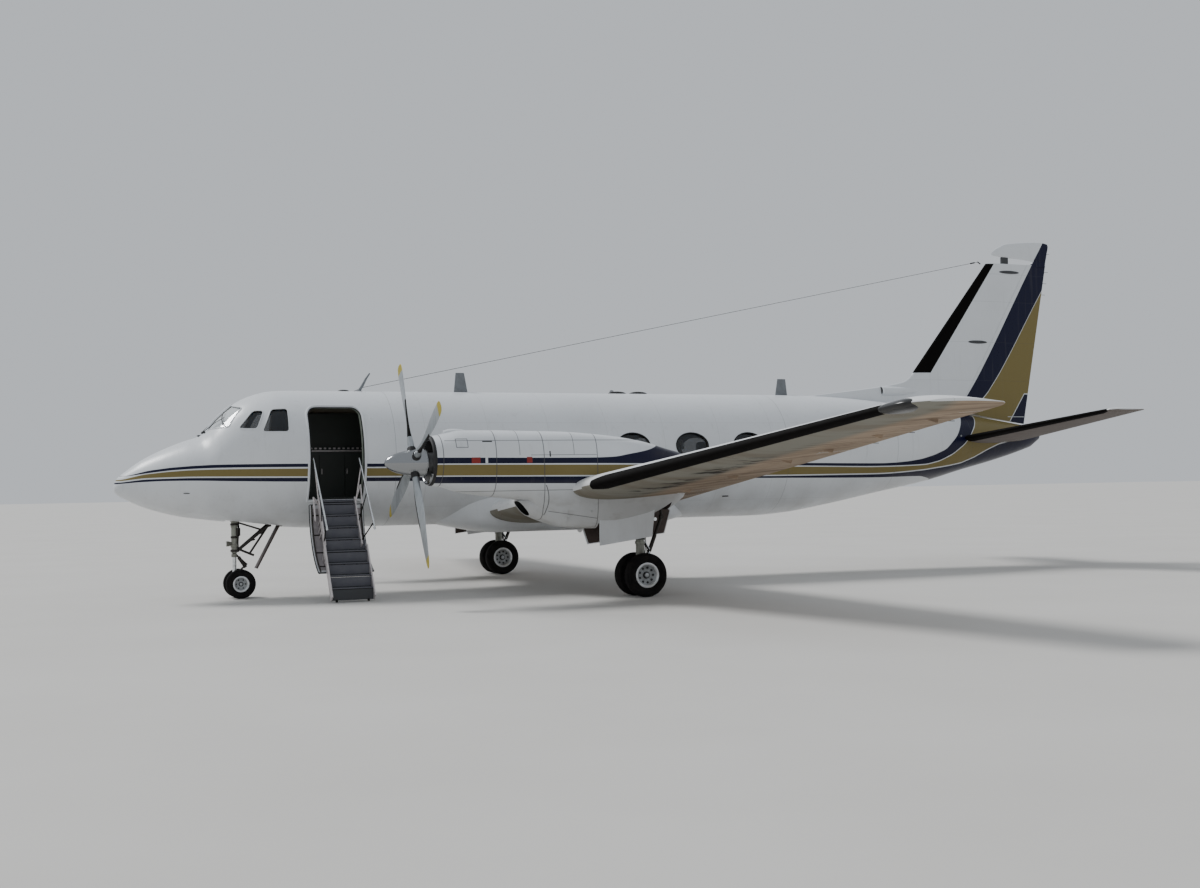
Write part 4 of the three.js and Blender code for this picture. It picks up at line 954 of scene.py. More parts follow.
# Looks by the names that the pieces give; a piece's faces carry the number of a look in its list
LOOK = {
    "livery": livery(), "tail": tail_paint(), "nacelle": nacelle_paint(), "wing": wing_paint(),
    "wing_below": wing_below_paint_and_shade(), "tailplane": tailplane_top(), "tail_below": tailplane_below(),
    "white": weather_and_shade(painted("plain_white"), 1.3), "boot": boot_rubber(), "glass": glass(),
    "tread": tread(), "blade": blade_paint(), "polished": polished(),
    "gear": simple("gear_paint", "989a90", 0.42, (11, 6, (1, 1, 0.5), (0.42, 0.7, 0.75, "4b443b"), 0.002),
                   (55, 3, EVEN, (0.66, 0.72, 0.7, "7e5b3e")), metallic=0.1),
    "brace": metal("dark_brace", "37332f", 0.5, "15120f", 0.4),
    # The wells' and gear doors' dull brown is real paint, darkened further as painted shade.
    "bay": metal("bay_paint_and_shade", "4b3f3a", 0.6, "251d1a", 0.1),
    "steel": metal("bare_steel", "b4b7ba", 0.3), "chrome": metal("oleo_chrome", "dfe2e4", 0.1),
    "rim": metal("wheel_rim", "9c9fa1", 0.42, "4f4a44", 0.4),
    "lip": metal("rim_lip", "e2e4e6", 0.32, "a09c96", 0.4),
    "stair": metal("stair_metal", "cfc9c9", 0.4, "8d8886", 0.45),
    "engine": metal("engine_iron", "6e6f70", 0.5, "3c3833", 0.8),
    "tyre": rubber("tyre_rubber", "0f0e0f"), "hose": rubber("black_hose", "101010"),
    # The black paint is real on many parts, and is also painted shade in the scoops, the intake, the jet
    # pipes and the wheels' holes.
    "seal": rubber("window_seal", "202124"), "black": dark("black_paint_and_shade"),
    "soot": dark("exhaust_soot", "241f1b", 0.75), "dial": dark("dial_face", "0b0c0d", 0.25),
    "trim": dark("grey_trim", "3a3c3f"), "jamb": dark("jamb_green", "99a296", 0.55),
    "liner": dark("door_liner", "9d9799", 0.55), "wall": dark("galley_green", "3a413c", 0.5),
    # The blade aerials' grey is darkened as painted shade.
    "linen": dark("head_cover", "dddcd6", 0.9), "aerial": dark("aerial_grey_and_shade", "74787c", 0.5),
    "screen": simple("windscreen_glass", "e3e7e8", 0.05, (4, 4, EVEN, (0.4, 0.8, 0.4, "8f979a")),
                     Coat_Weight=0.8, Coat_Roughness=0.02, Alpha=0.86),
    "lining": simple("cabin_lining", "8d8578", 0.75, (220, 2, EVEN, (0.4, 0.7, 0.2, "6f675b"), 0.001)),
    "wood": simple("brown_panel", "3f2d22", 0.45, (9, 5, (0.6, 0.6, 9), (0.35, 0.7, 0.6, "261912")),
                   Coat_Weight=0.3),
    "carpet": simple("carpet", "39342f", 0.95, (260, 3, EVEN, (0.35, 0.7, 0.6, "56504a"), 0.004)),
    "leather": simple("seat_leather", "77705f", 0.5, (240, 3, EVEN, None, 0.0012),
                      (16, 4, EVEN, (0.4, 0.75, 0.35, "5b5547"), 0.004), Sheen_Weight=0.15),
    "floor": simple("pale_floor", "c9c7c3", 0.8, (0.35, 6, EVEN, (0.35, 0.75, 0.35, "bab7b2"))),
}


# Fuselage

section = smooth_table([(math.sqrt(row[0]), *row[1:]) for row in FUSELAGE])


def body_ring(x, grow=0.0, count=AROUND):
    """The body's outline at a station."""
    top, bottom, half = section(math.sqrt(max(x, 0)))
    return oval(x, top + grow, bottom - grow, max(half + grow, 0.001), count)


def skin_y(x, z):
    """Half width of the skin at a station and height."""
    top, bottom, half = section(math.sqrt(x))
    part = (z - (top + bottom) / 2) / ((top - bottom) / 2)
    return half * math.sqrt(max(0, 1 - part * part))


def skin_x(y, z):
    """Station at which the nose reaches a point of the front view, found by halving."""
    low, high = 1.2, 2.5
    for _ in range(30):
        middle = (low + high) / 2
        if skin_y(middle, z) > abs(y) and section(math.sqrt(middle))[0] > z:
            high = middle
        else:
            low = middle
    return (low + high) / 2


def skin_normal(x, y, z):
    """Direction straight out of the skin."""
    top, bottom, half = section(math.sqrt(max(x, 1e-4)))

    def level(at, py, pz):
        t, b, h = section(math.sqrt(max(at, 1e-4)))
        return (py / h) ** 2 + ((pz - (t + b) / 2) / ((t - b) / 2)) ** 2
    step = 0.004
    slope = (level(x + step, y, z) - level(x - step, y, z)) / (2 * step)
    rise = ((top - bottom) / 2) ** 2
    return Vector((slope, 2 * y / half ** 2, 2 * (z - (top + bottom) / 2) / rise)).normalized()


def body_stations(low, high):
    """Stations along a length of body, closer together towards the nose."""
    found = [low]
    while found[-1] < high - 1e-6:
        step = min(0.24, 0.01 + found[-1] * 0.055) if found[-1] < 4 else 0.3
        found.append(min(high, found[-1] + step))
    return found


def body_shell(low, high):
    """A hollow length of fuselage: paint outside, lining inside."""
    shape = Shape()
    xs = body_stations(low, high)
    outer = [body_ring(x) for x in xs]
    inner = [body_ring(x, -WALL) for x in xs]
    shape.loft(outer, 0, caps=False)
    shape.loft([outer[0], inner[0]], 0, caps=False)
    shape.loft([outer[-1], inner[-1]], 0, caps=False)
    shape.loft(inner, 1, caps=False)
    return shape


def true_normals(piece):
    """Gives the outer skin the exact normals of the body, so that cut panels still shade evenly."""
    mesh = piece.data
    normals = []
    for polygon in mesh.polygons:
        for loop in polygon.loop_indices:
            point = mesh.vertices[mesh.loops[loop].vertex_index].co
            exact = skin_normal(point.x - NOSE, point.y, point.z)
            normals.append(exact if exact.dot(polygon.normal) > 0.9 else polygon.normal.copy())
    mesh.normals_split_custom_set(normals)


def door_outline(grow=0.0):
    """The doorway in station and height: square at the sill, rounded above."""
    c = DOOR["corner"] + grow
    front, rear = DOOR["front"] - grow, DOOR["rear"] + grow
    sill, top = DOOR["sill"] - grow, DOOR["top"] + grow
    points = [(front, sill), (rear, sill)]
    points += [(rear - c + c * math.cos(a), top - c + c * math.sin(a)) for a in spread(0, math.pi / 2, 8)]
    points += [(front + c - c * math.sin(a), top - c + c * math.cos(a)) for a in spread(0, math.pi / 2, 8)]
    return points


def window_outline(k, grow=0.0):
    x = WINDOW["first"] + k * WINDOW["pitch"]
    a, b = WINDOW["width"] / 2 + grow, WINDOW["height"] / 2 + grow
    return [(x + a * math.cos(t), WINDOW["z"] + b * math.sin(t)) for t in around(40)]


def prism(outline, axis, low, high, mark=1):
    """A plain thick outline, to cut holes or panes with."""
    return Shape().plate(outline, axis, low, high, mark, cut=0)


def both_sides(shape):
    return Shape().join(shape).join(shape.mirrored())


def on_side(outline, sign, proud=0.0):
    """An outline of station and height laid on one side of the skin."""
    return [(x, sign * (skin_y(x, z) + proud), z) for x, z in dense(outline)]


def on_front(outline, sign):
    """An outline of y and height laid on the front of the cockpit."""
    return [(skin_x(y, z), sign * y, z) for y, z in dense(outline)]


def fuselage():
    """Radome, front, cabin and tail, with the doorway, windows and nose wheel well cut."""
    paint = "livery lining"
    radome = Shape().loft([body_ring(x) for x in body_stations(0, JOINTS["radome"] - 0.0004)])
    make("radome_skin", radome, paint, replaces=["radome"])

    front = loose("front_skin", body_shell(JOINTS["radome"] + 0.0004, JOINTS["front"]), paint)
    cutters = prism(door_outline(), "y", -1.4, -0.6)
    for outline in SIDE_WINDOWS:
        cutters.join(both_sides(prism(rounded(outline, SIDE_CORNER["hole"]), "y", 0.6, 1.3)))
    cutters.join(both_sides(prism(rounded(WINDSCREEN, SCREEN_CORNER["hole"]), "x", 1.2, 2.45)))
    cutters.box(*NOSE_WELL, 1)
    carve(front, cutters, looks=paint)
    true_normals(front)
    ready(front, replaces=["fuselage_front"])

    cabin = loose("cabin_skin", body_shell(JOINTS["front"], JOINTS["cabin"]), paint)
    holes = Shape()
    for k in range(WINDOW["count"]):
        holes.join(prism(window_outline(k), "y", -1.4, 1.4))
    carve(cabin, holes, looks=paint)
    true_normals(cabin)
    ready(cabin, replaces=["fuselage_cabin"])

    tail = Shape().loft([body_ring(x) for x in body_stations(JOINTS["cabin"], JOINTS["tail"])])
    make("tail_skin", tail, paint, replaces=["fuselage_tail"])


def fuselage_frames():
    """Frames around the doorway, windows and windscreen, and the cabin windows' seals."""
    trim = Shape()
    trim.tube(on_side(door_outline(0.02), -1, 0.002), 0.02, 8, 0, True)
    for outline in SIDE_WINDOWS:
        for sign in (1, -1):
            trim.tube(on_side(rounded(outline, SIDE_CORNER["hole"]), sign), 0.009, 8, 0, True)
    for sign in (1, -1):
        trim.tube(on_front(rounded(WINDSCREEN, SCREEN_CORNER["hole"]), sign), 0.01, 8, 0, True)
    trim.tube([(skin_x(0, z) - 0.004, 0, z) for z in spread(2.86, 3.31, 12)], 0.02, 8)
    make("window_frames", trim, "white")
    door_jamb()

    seals = Shape()
    for k in range(WINDOW["count"]):
        for sign in (1, -1):
            seals.tube(on_side(window_outline(k), sign, -0.002), 0.011, 8, 0, True)
    make("window_seals", seals, "seal")


def door_jamb():
    """The pale ring that lines the doorway, with a dark rubber edge."""
    outline = dense(door_outline(-0.002))
    inner = dense(door_outline(-0.022))
    rings = []
    for place in outline[:min(len(outline), len(inner))]:
        near = min(inner, key=lambda p: math.hypot(p[0] - place[0], p[1] - place[1]))
        out, back = skin_y(*place) - 0.012, skin_y(*near) - 0.105
        rings.append([
            (place[0], -out, place[1]), (near[0], -out, near[1]), (near[0], -back, near[1]),
            (place[0], -back, place[1]),
        ])
    jamb = Shape().loft(rings + rings[:1], 0, caps=False)
    make("door_jamb", jamb, "jamb")
    path = [(x, -(skin_y(x, z) - 0.006), z) for x, z in dense(door_outline(-0.012))]
    seal = Shape().tube(path, 0.009, 8, 0, True)
    make("door_seal", seal, "seal")


def shell_patch(low, high, outer, inner, step=0.05):
    """A thin length of shell between two depths below the skin."""
    xs = spread(low, high, int((high - low) / step) + 2)
    out = [body_ring(x, -outer) for x in xs]
    back = [body_ring(x, -inner) for x in xs]
    shape = Shape().loft(out, caps=False).loft(back, caps=False)
    shape.loft([out[0], back[0]], caps=False)
    return shape.loft([out[-1], back[-1]], caps=False)


def glazing():
    """Panes cut from thin shells of the body, just inside the skin."""
    panes = loose("cockpit_panes", shell_patch(1.25, 2.85, 0.022, 0.032), "glass")
    keep = Shape()
    for outline in SIDE_WINDOWS:
        keep.join(both_sides(prism(rounded(outline, SIDE_CORNER["pane"]), "y", 0.6, 1.3, 0)))
    carve(panes, keep, "INTERSECT")
    ready(panes, replaces=["cockpit_glazing"])

    screen = loose("windscreen_panes", shell_patch(1.25, 2.5, 0.022, 0.034), "screen")
    outline = rounded(WINDSCREEN, SCREEN_CORNER["pane"])
    carve(screen, both_sides(prism(outline, "x", 1.2, 2.45, 0)), "INTERSECT")
    ready(screen)

    for side, sign in SIDES:
        ovals = loose(f"cabin_panes_{side}", shell_patch(6.2, 11.8, 0.03, 0.04, 0.2), "glass")
        keep = Shape()
        for k in range(WINDOW["count"]):
            keep.join(prism(window_outline(k, 0.004), "y", *sorted((0.7 * sign, 1.4 * sign)), 0))
        carve(ovals, keep, "INTERSECT")
        ready(ovals, replaces=[f"cabin_windows_{side}"])


def wipers():
    """Two wipers on the windscreen, each an arm, a blade and a spindle."""
    shape = Shape()
    for sign in (1, -1):
        arm = [(0.12, 2.84), (0.25, 2.9), (0.4, 3.0), (0.5, 3.1)]
        points = [(skin_x(y, z) - 0.03, sign * y, z + 0.01) for y, z in dense(arm, 0.03)[:16]]
        shape.tube(points, 0.009, 8, flat=0.6)
        blade = [(skin_x(y, z) - 0.018, sign * y, z)
                 for y, z in zip(spread(0.6, 0.18, 12), spread(2.93, 3.17, 12))]
        shape.tube(blade, 0.008, 8)
        x = skin_x(0.12, 2.84)
        shape.rod((x - 0.05, sign * 0.12, 2.84), (x + 0.03, sign * 0.12, 2.8), 0.02)
    make("wipers", shape, "black")


def fairing():
    """The blister that carries the wing below the cabin."""
    rows = smooth_table(FAIRING)
    rings = []
    for x in spread(FAIRING[0][0], FAIRING[-1][0], 42):
        bottom, half = rows(x)
        rings.append(oval(x, FAIRING_TOP, bottom, half, 64, 4))
    shape = Shape().loft(rings)
    make("wing_fairing_skin", shape, "white", replaces=["wing_body_fairing"])


# Wings and tail surfaces

def foil_half(u, thick):
    """Half thickness of a wing section at a share of its chord."""
    rise = 0.2969 * math.sqrt(u) - 0.126 * u - 0.3516 * u ** 2 + 0.2843 * u ** 3 - 0.1015 * u ** 4
    return 5 * thick * rise


class Foil:
    """One section of a wing: where its skin and its hinge lie at one span."""

    def __init__(self, plan, span, size=1.0, thin=1.0):
        part = span / plan["half"]
        chord = mix(plan["chord"], part)
        self.chord = chord * size
        self.lead = mix(plan["lead"], part) + chord * (1 - size) * 0.6
        self.thick = mix(plan["thick"], part) * thin
        self.camber = plan["camber"]
        self.span = span

    def point(self, u, side):
        line = 4 * self.camber * self.chord * u * (1 - u)
        half = foil_half(u, self.thick) * self.chord + 0.003 * u
        return (self.lead + u * self.chord, self.span, line + side * half)

    def hinge(self, fraction):
        line = 4 * self.camber * self.chord * fraction * (1 - fraction)
        return self.lead + fraction * self.chord, line, foil_half(fraction, self.thick) * self.chord

    def whole(self, steps=26):
        cuts = [(1 - math.cos(math.pi * k / steps)) / 2 for k in range(steps + 1)]
        upper = [self.point(u, 1) for u in reversed(cuts[1:])]
        return upper + [self.point(u, -1) for u in cuts]

    def fixed(self, fraction):
        """The part ahead of a moving surface, hollowed around the surface's nose."""
        x, z, radius = self.hinge(fraction)
        lip = math.sqrt(2 * radius * SURFACE_GAP + SURFACE_GAP ** 2)
        end = fraction - lip / self.chord
        cuts = [end * (1 - math.cos(math.pi * k / 26)) / 2 for k in range(27)]
        upper = [self.point(u, 1) for u in reversed(cuts[1:])]
        lower = [self.point(u, -1) for u in cuts]
        reach = radius + SURFACE_GAP
        turn = math.atan2(radius, -lip)
        cove = [(x + reach * math.cos(a), self.span, z + reach * math.sin(a))
                for a in spread(2 * math.pi - turn, turn, 12)[1:-1]]
        return upper + lower + cove

    def moving(self, fraction):
        x, z, radius = self.hinge(fraction)
        nose = [(x + radius * math.cos(a), self.span, z + radius * math.sin(a))
                for a in spread(math.pi / 2, 3 * math.pi / 2, 14)]
        cuts = spread(fraction, 1, 9)[1:]
        upper = [self.point(u, 1) for u in reversed(cuts)]
        return upper + nose + [self.point(u, -1) for u in cuts]


def level_foil(z, lead, trail, thick):
    """The section of an upright surface at one height."""
    plan = {"half": 1, "chord": (trail - lead,) * 2, "lead": (lead,) * 2, "thick": (thick,) * 2, "camber": 0}
    return Foil(plan, z)


def raised(plan, shape):
    """A wing that was laid out flat, turned to its dihedral."""
    return shape.moved(Matrix.Translation((0, 0, plan["z"])) @ Matrix.Rotation(plan["turn"], 4, "X"))


def tip_foil(plan, span):
    """The section at a span, shorter and thinner where the tip is rounded."""
    bend = max(0, 1 - (plan["half"] - span) / plan["tip"])
    return Foil(plan, span, 1 - 0.28 * bend ** 3, math.sqrt(1 - 0.94 * bend ** 2))


def lifting_surface(plan, surfaces):
    """The fixed part of a wing, in lengths between its moving surfaces, with a rounded tip."""
    shape = Shape()
    edge = plan["start"]
    tip = plan["half"] - plan["tip"]
    for _, start, end, fraction in surfaces:
        if start > edge:
            shape.loft([Foil(plan, s).whole() for s in spread(edge, start, 4)])
        shape.loft([Foil(plan, s).fixed(fraction) for s in spread(start, end, 12)])
        edge = end
    rounding = []
    for t in spread(0, 1, 12):
        rounding.append(tip_foil(plan, tip + plan["tip"] * math.sin(t * math.pi / 2)).whole())
    shape.loft([Foil(plan, edge).whole()] + rounding)
    return raised(plan, shape)


def moving_surface(plan, row):
    """A flap, aileron or elevator behind its round hinge nose."""
    _, start, end, fraction = row
    spans = spread(start + SURFACE_GAP, end - SURFACE_GAP, 14)
    return raised(plan, Shape().loft([Foil(plan, s).moving(fraction) for s in spans]))


def paint_below(pieces):
    """Gives the faces that look down their own paint, the second of the piece, a darker paint that is partly
    painted shade.
    """
    for piece in pieces:
        for face in piece.data.polygons:
            if face.normal.z < -0.2:
                face.material_index = 1


def hinge_arms(row):
    """Small brackets below a wing surface's hinge line, fixed to the wing."""
    shape = Shape()
    _, start, end, fraction = row
    for part in (0.12, 0.5, 0.88):
        span = mix((start, end), part)
        x, z, radius = Foil(WING, span).hinge(fraction)
        front = x - 0.16 - radius
        outline = [(front, z - radius * 0.7), (x - radius * 0.2, z - radius - SURFACE_GAP * 1.2),
                   (x - radius * 0.5, z - radius - 0.06), (front, z - radius * 1.1)]
        shape.plate(outline, "y", span - 0.012, span + 0.012)
    return raised(WING, shape)


def boot_strip(foils, above, below, stand=list, tapers=(True, True)):
    """A strip around a leading edge, that tapers towards the ends that say so."""
    rings = []
    count = len(foils)
    for k, foil in enumerate(foils):
        t = k / (count - 1)
        ends = [part / 0.05 for part, taper in zip((t, 1 - t), tapers) if taper]
        fade = max(0.12, min([1] + ends)) ** 0.5
        outer, inner = [], []
        for part in spread(1, -1, 21):
            width = (above(t) if part > 0 else below(t)) * fade
            side = 1 if part > 0 else -1
            x, span, z = foil.point(part * part * width / foil.chord, side)
            proud = 0.0035 * (1 - 0.7 * abs(part) ** 6)
            front = 1 - abs(part)
            outer.append((x - proud * front, span, z + side * proud * abs(part) ** 0.5))
            inner.append((x + 0.004 * front, span, z - side * 0.003 * abs(part) ** 0.5))
        rings.append(stand(outer + inner[::-1]))
    return Shape().loft(rings)


def wings():
    """The wings, tailplanes, their moving surfaces and their boots."""
    paints = "wing wing_below"
    wing = lifting_surface(WING, WING_SURFACES)
    paint_below(sided("wing_skin", wing, paints, replaces=["wing"]))
    arms = Shape()
    for row in WING_SURFACES:
        name = row[0]
        paint_below(sided(f"{name}_skin", moving_surface(WING, row), paints, name, [name]))
        arms.join(hinge_arms(row))
    sided("hinge_arms", arms, "wing_below")
    wing_boot = boot_strip([Foil(WING, s) for s in spread(*WING_BOOT, 60)],
                           lambda t: 0.095 - 0.03 * t, lambda t: 0.12 - 0.03 * t, tapers=(True, False))
    sided("wing_boot", raised(WING, wing_boot), "boot")
    tail_boot = boot_strip([tip_foil(TAILPLANE, s) for s in spread(*TAILPLANE_BOOT, 40)],
                           lambda t: 0.16 - 0.07 * t, lambda t: 0.2 - 0.1 * t)
    sided("tailplane_boot", raised(TAILPLANE, tail_boot), "boot")
    paints = "tailplane tail_below"
    tail = lifting_surface(TAILPLANE, [ELEVATOR])
    paint_below(sided("tailplane_skin", tail, paints, replaces=["tailplane"]))
    elevator = moving_surface(TAILPLANE, ELEVATOR)
    paint_below(sided("elevator_skin", elevator, paints, "elevator", ["elevator"]))


def tip_lenses():
    """A dark glazed lamp let into each wing tip's leading edge."""
    def width(t):
        return math.sqrt(max(0.03, 1 - (2 * t - 1) ** 2))

    strip = boot_strip([tip_foil(WING, s) for s in spread(*TIP_LENS, 20)],
                       lambda t: 0.13 * width(t), lambda t: 0.26 * width(t), tapers=(False, False))
    sided("tip_lens", raised(WING, strip), "dial")


def fin_chord(z):
    """Leading and trailing stations of the fin with its rudder."""
    lead = FIN["lead"] + FIN["slope"] * (z - FIN["root"])
    trail = RUDDER["trail"] + RUDDER["slope"] * (z - RUDDER["bottom"])
    return lead, trail


def fin_foil(z):
    return level_foil(z, *fin_chord(z), FIN["thick"])


def upright(ring):
    """A flat section turned so that its span points up."""
    return [(x, z, span) for x, span, z in ring]


def fin_hinge(z):
    """Where the rudder's hinge crosses the section, as a share of its chord."""
    foil = fin_foil(z)
    return (RUDDER_HINGE["x"] - RUDDER_HINGE["slope"] * (RUDDER_HINGE["z"] - z) - foil.lead) / foil.chord


def fin_part(low, high, part):
    """The fin's fixed or moving part, Foil.fixed or Foil.moving, between two heights."""
    rings = []
    stretch = math.hypot(1, RUDDER_HINGE["slope"])
    for z in spread(low, high, 24):
        foil, fraction = fin_foil(z), fin_hinge(z)
        rings.append(upright(stretched(part(foil, fraction), foil, fraction, stretch)))
    return Shape().loft(rings)


def fin_and_rudder():
    """The fin with its dorsal ridge, scoop and boot, and the rudder cut clear of the tail cone."""
    fin = fin_part(FIN["root"] - 0.15, FIN["top"], Foil.fixed)
    ridge = smooth_table(RIDGE)
    start = RIDGE[0][0]
    dorsal = []
    for x in spread(start, 16.2, 26):
        top, base = ridge(x)[0], section(math.sqrt(x))[0] - 0.1
        dorsal.append(oval(x, top, 2 * base - top, 0.045 + 0.01 * (x - start), 20, 2.6))
    fin.loft(dorsal)
    scoop = []
    for t in spread(0, 1, 16):
        size = math.sqrt(max(0.02, 1 - t ** 2.2))
        scoop.append(oval(15.03 + 1.3 * t, 3.7 + 0.06 * size, 3.7 - 0.15 * size, 0.13 * size, 24))
    fin.loft(scoop)
    make("fin_skin", fin, "tail", replaces=["vertical_fin"])
    # Painted shade: a black disc fills the scoop's mouth.
    mouth = Shape().turned(disc(0.085, 0.05), (15.012, 0, 3.665), AFT)
    make("fin_scoop_shade_disc", mouth, "black")

    def width(t):
        return 0.38 - 0.2 * t

    boot = boot_strip([fin_foil(z) for z in spread(*FIN_BOOT, 40)], width, width, upright, (False, False))
    make("fin_boot", boot, "boot")
    hinge_pods()

    moving = fin_part(RUDDER["bottom"] - 0.12, RUDDER["top"], Foil.moving)
    blade = loose("rudder_skin", moving, "tail")
    cone = [body_ring(x, 0.03, 48) for x in spread(15.5, JOINTS["tail"], 20)]
    carve(blade, Shape().loft(cone + [[(19.4, 0, 2.72)] * 48]))
    add_to(blade, rudder_horn(), "tail")
    ready(blade, "rudder", ["rudder"])


def hinge_pods():
    """Flat blisters over the rudder's hinges, and the dark block under its horn."""
    pods = Shape()
    for front, rear, z in ((18.053, 18.595, 6.25), (17.174, 17.68, 4.72)):
        foil = fin_foil(z)
        for sign in (1, -1):
            rings = []
            for x, size in swelling(front, rear, 12):
                side = abs(foil.point((x - foil.lead) / foil.chord, 1)[2])
                ring = oval(x, z + 0.035 * size, z - 0.035 * size, 0.03 * size, 20)
                rings.append([(px, sign * (side + py * 0.6), pz) for px, py, pz in ring])
            pods.loft(rings)
    pods.box((18.16, -0.028, 6.41), (18.34, 0.028, 6.58), 0, 0.01)
    make("fin_hinge_pods", pods, "trim")


def stretched(ring, foil, fraction, stretch):
    """Lengthens a hinge's round nose, because the sections lie level and the hinge line leans."""
    x, _, radius = foil.hinge(fraction)
    end = x - math.sqrt(2 * radius * SURFACE_GAP + SURFACE_GAP ** 2)
    reach = radius + SURFACE_GAP * 1.01
    return [
        (x + (px - x) * stretch, y, z)
        if abs(math.hypot(px - x, z) - radius) < SURFACE_GAP * 1.01 and px < x
        and (math.hypot(px - x, z) < radius * 1.001 or px < end) and px > x - reach * 1.01 else (px, y, z)
        for px, y, z in ring
    ]


def rudder_horn():
    """The rudder's top, that reaches forward over the fin, and the neck that carries it."""
    rows = smooth_table(HORN)
    rings = []
    for z in spread(HORN[0][0], HORN[-1][0], 22):
        lead, trail = rows(z)
        fade = math.sqrt(max(0.0, 1 - max(0, (z - 6.8) / 0.14) ** 2))
        rings.append(upright(level_foil(z, lead, trail, 0.015 + 0.045 * fade).whole(18)))
    horn = Shape().loft(rings)
    neck = [(18.96, 6.4), (19.31, 6.4), (19.335, 6.54), (18.99, 6.54)]
    return horn.plate(neck, "y", -0.03, 0.03)


def add_to(piece, shape, looks):
    """Joins a second shape into a piece."""
    extra = mesh_of("extra", shape, looks)
    made = bmesh.new()
    made.from_mesh(piece.data)
    made.from_mesh(extra)
    made.to_mesh(piece.data)
    made.free()
    bpy.data.meshes.remove(extra)
    finish_mesh(piece.data)


# Nacelles, engines and propellers, laid out on the starboard side

nacelle_at = smooth_table(NACELLE)


def nacelle_ring(x):
    top, bottom, half, power = nacelle_at(x)
    return oval(x, top, bottom, half, 72, power, GEAR_Y)


def flap_sweep(row):
    """The room that a flap sweeps as it goes down."""
    _, start, end, fraction = row
    rings = []
    for span in (start - 0.004, end + 0.004):
        foil = Foil(WING, span)
        x, z, radius = foil.hinge(fraction)
        ring = []
        for size, angles in ((foil.chord * (1 - fraction) + 0.02, spread(0.02, -0.72, 10)),
                             (radius + SURFACE_GAP, spread(4.0, 1.57, 12))):
            ring += [(x + size * math.cos(a), span, z + size * math.sin(a)) for a in angles]
        rings.append(ring)
    return raised(WING, Shape().loft(rings))


def nacelles():
    """Nacelle skins with the wheel well, intake duct, flap room and oil cooler scoop."""
    xs = sorted(set(spread(NACELLE[0][0], 5.9, 16) + spread(5.9, 6.6, 14) + spread(6.6, 8.71, 26)))
    body = Shape().loft([nacelle_ring(x) for x in xs])
    front, rear, ceiling = WELL["front"], WELL["rear"], WELL["ceiling"]
    well = [(front, 0.9), (rear, 0.9), (rear, ceiling), (front, ceiling)]
    cutters = prism(well, "y", GEAR_Y - WELL["half"], GEAR_Y + WELL["half"])
    duct = [(0, 0), (0.33, 0), (0.3, 0.1), (0.24, 0.3), (0, 0.3)]
    # The duct is cut with the black paint, so the intake's inside walls are painted shade.
    cutters.turned(duct, (4.33, GEAR_Y, INTAKE_Z), AFT, 48, 2)
    paints = "nacelle bay black"
    for side, sign in SIDES:
        piece = loose(f"nacelle_skin_{side}", of_side(body, sign), paints)
        carve(piece, of_side(cutters, sign), looks=paints)
        for row in WING_SURFACES[:2]:
            carve(piece, of_side(flap_sweep(row), sign), looks=paints)
        add_to(piece, of_side(scoop_shape(), sign), paints)
        ready(piece, replaces=[f"nacelle_{side}"])
    intake_parts()
    exhausts()


def scoop_shape():
    """The oil cooler's scoop below the nacelle, with a raked mouth whose black inside and closing plate are
    painted shade.
    """
    shape = Shape()
    rows = smooth_table([
        (0, 1.6, 1.345, 0.2), (0.1, 1.63, 1.3, 0.25), (0.3, 1.67, 1.24, 0.32), (0.74, 1.7, 1.165, 0.4),
    ])

    def raked(t, shrink=0.0):
        top, bottom, half = rows(t)
        ring = []
        for _, y, z in oval(0, top - shrink, bottom + shrink, half - shrink, 40, 2.6, GEAR_Y):
            rake = (1.62 - z) * 0.8 * max(0, 1 - t / 0.74)
            ring.append((5.76 + t + rake, y, z))
        return ring
    rings = [raked(t) for t in spread(0, 0.74, 18)]
    inner = [raked(t, 0.013) for t in spread(0, 0.2, 5)]
    lip = [(x - 0.008, y, z) for x, y, z in raked(0, 0.006)]
    shape.loft(rings, 0, caps=False)
    shape.loft([rings[0], lip], 0, caps=False)
    shape.loft([lip, inner[0]], 0, caps=False)
    # Painted shade: the inside of the mouth and the plate that closes it are black.
    shape.loft(inner, 2, caps=False)
    shape.add(inner[-1], [tuple(range(40))], 2)
    return shape


def intake_parts():
    """The black intake ring with its bright edge, and the engine's face inside, whose black front is painted
    shade.
    """
    shape = Shape()
    profile = [(0.37, 0.03), (0.384, 0.0), (0.38, -0.035), (0.355, -0.05), (0.32, -0.035), (0.3, 0.01),
               (0.29, 0.12), (0.3, 0.14), (0.36, 0.06)]
    shape.ring(profile, (4.41, GEAR_Y, INTAKE_Z), AFT, 64)
    sided("intake_lip", shape, "black")
    radius = 0.352
    arc = [(4.362, GEAR_Y + radius * math.sin(a), INTAKE_Z - radius * math.cos(a))
           for a in spread(-1.7, 1.0, 30)]
    sided("intake_edge", Shape().tube(arc, 0.022), "polished")

    engine = Shape()
    face = [(0, 0), (0.27, 0), (0.29, 0.02), (0.29, 0.4), (0, 0.4)]
    gear_case = [(0, 0), (0.13, 0), (0.15, 0.03), (0.17, 0.3), (0, 0.3)]
    # Painted shade: the engine's face is black.
    engine.turned(face, (4.56, GEAR_Y, ENGINE_Z), AFT, 40, 1)
    engine.turned(gear_case, (4.27, GEAR_Y, PROP["z"]), AFT, 32)
    for a in around(18):
        vane = [(4.52, GEAR_Y + r * math.cos(a), ENGINE_Z + r * math.sin(a)) for r in (0.15, 0.28)]
        engine.tube(vane, 0.012, 6, flat=0.4)
    sided("engine_face", engine, "engine black", replaces=["engine"])


